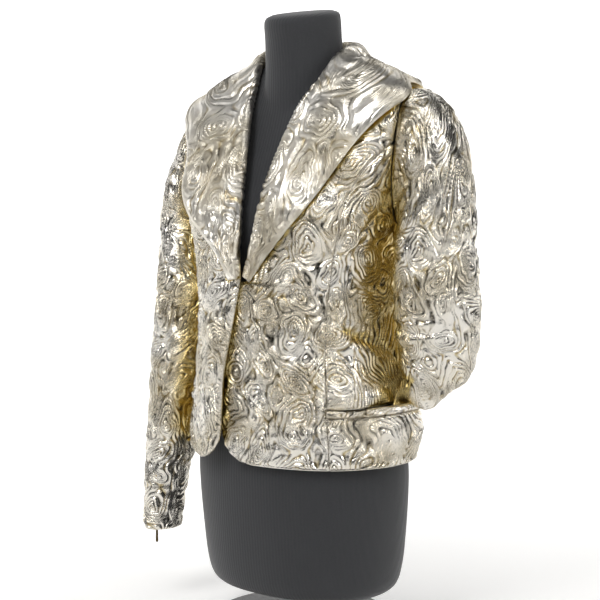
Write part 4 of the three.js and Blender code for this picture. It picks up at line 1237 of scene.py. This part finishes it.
# %% Floor and backdrop
AZIMUTH, DISTANCE = math.radians(40), 2.8
BACK = np.array((-math.sin(AZIMUTH), math.cos(AZIMUTH), 0))
RIGHT = np.array((math.cos(AZIMUTH), math.sin(AZIMUTH), 0))
PAPER_NEAR, PAPER_BEND, PAPER_ROUND, PAPER_TOP, PAPER_SIDE = -10.0, 3.8, 1.6, 5.0, 6


def paper_finish():
    """White paper that glows more the further it is behind the object, as if it were lit."""
    made, add, surface = new_material("white_paper")
    place = add("TexCoord", out="Object")
    behind = add("VectorMath", {0: place, 1: tuple(BACK)}, out="Value", operation="DOT_PRODUCT")
    deepens = {"Value": behind, "From Min": -0.3, "From Max": 1.5, "To Min": 0.12, "To Max": 0.95}
    glow = add("MapRange", deepens)
    fill(surface, {"Base Color": linear("#F4F3F1"), "Roughness": 0.9})
    fill(surface, {"Emission Color": linear("#FFFFFF"), "Emission Strength": glow})
    return made


def backdrop():
    """A long sheet of paper: the floor, a round bend and an upright wall."""
    bend = [
        (PAPER_BEND + PAPER_ROUND * math.sin(a), PAPER_ROUND - PAPER_ROUND * math.cos(a))
        for a in np.linspace(0, math.pi / 2, 25)
    ]
    profile = [(PAPER_NEAR, 0.0), *bend, (PAPER_BEND + PAPER_ROUND, PAPER_TOP)]
    sides = (-PAPER_SIDE, PAPER_SIDE)
    points = np.array([BACK * far + RIGHT * side + (0, 0, up) for far, up in profile for side in sides])
    faces = [(2 * k, 2 * k + 1, 2 * k + 3, 2 * k + 2) for k in range(len(profile) - 1)]
    mesh_object("paper_backdrop", points / MM, faces, paper_finish())


backdrop()


# %% Lights and world
MIDDLE = 0.5  # the height that the lights face


def looking(place, target):
    """A matrix for a lamp or camera at a place that looks at a target."""
    toward = Vector([t - p for t, p in zip(target, place)])
    return Matrix.Translation(Vector(place)) @ toward.to_track_quat("-Z", "Y").to_matrix().to_4x4()


def soft_panel(name, azimuth, elevation, far, size, power):
    """A large soft light that faces the object from a direction; azimuth 0 is the front."""
    turn, rise = math.radians(azimuth), math.radians(elevation)
    light = bpy.data.lights.new(name, "AREA")
    light.shape, light.size, light.size_y, light.energy = "RECTANGLE", size[0], size[1], power
    lamp = bpy.data.objects.new(name, light)
    level = math.cos(rise)
    place = np.array((math.sin(turn) * level, -math.cos(turn) * level, math.sin(rise))) * far
    lamp.matrix_world = looking(place + (0, 0, MIDDLE), (0, 0, MIDDLE))
    bpy.context.collection.objects.link(lamp)


soft_panel("key_panel", 5, 38, 2.6, (1.0, 1.3), 32)
soft_panel("side_panel", 100, 20, 2.4, (0.6, 1.6), 17)
soft_panel("fill_panel", -60, 15, 2.8, (0.8, 1.6), 7)
soft_panel("top_panel", 40, 60, 2.6, (2.4, 1.6), 15)


def studio_world():
    """Pale and dark patches for the foil to mirror, which fade out towards the horizon."""
    world = bpy.data.worlds.new("studio")
    world.use_nodes = True
    add = partial(add_node, world.node_tree)
    direction = add("TexCoord", out="Generated")
    patches = add("TexNoise", {"Vector": direction, "Scale": 3.0, "Detail": 1.0})
    sky = add("ValToRGB", {"Fac": patches}, stops=((0.42, "#0A0A0A"), (0.58, "#C4C4C4")))
    height = add("SeparateXYZ", {"Vector": direction}, out="Z")
    rises = {"Value": height, "From Min": 0.05, "From Max": 0.6, "To Min": 0.08, "To Max": 1.0}
    lift = add("MapRange", rises)
    fill(world.node_tree.nodes["Background"], {"Color": sky, "Strength": lift})
    return world


bpy.context.scene.world = studio_world()

# %% Camera
EYE_HEIGHT, AIM_HEIGHT = 0.8, 0.459
camera = bpy.data.objects.new("camera", bpy.data.cameras.new("camera"))
camera.data.lens, camera.data.sensor_width, camera.data.shift_x = 120, 36, -0.005
camera.matrix_world = looking(-BACK * DISTANCE + (0, 0, EYE_HEIGHT), (0, 0, AIM_HEIGHT))
bpy.context.collection.objects.link(camera)
bpy.context.scene.camera = camera
bpy.context.scene.view_settings.view_transform = "Standard"
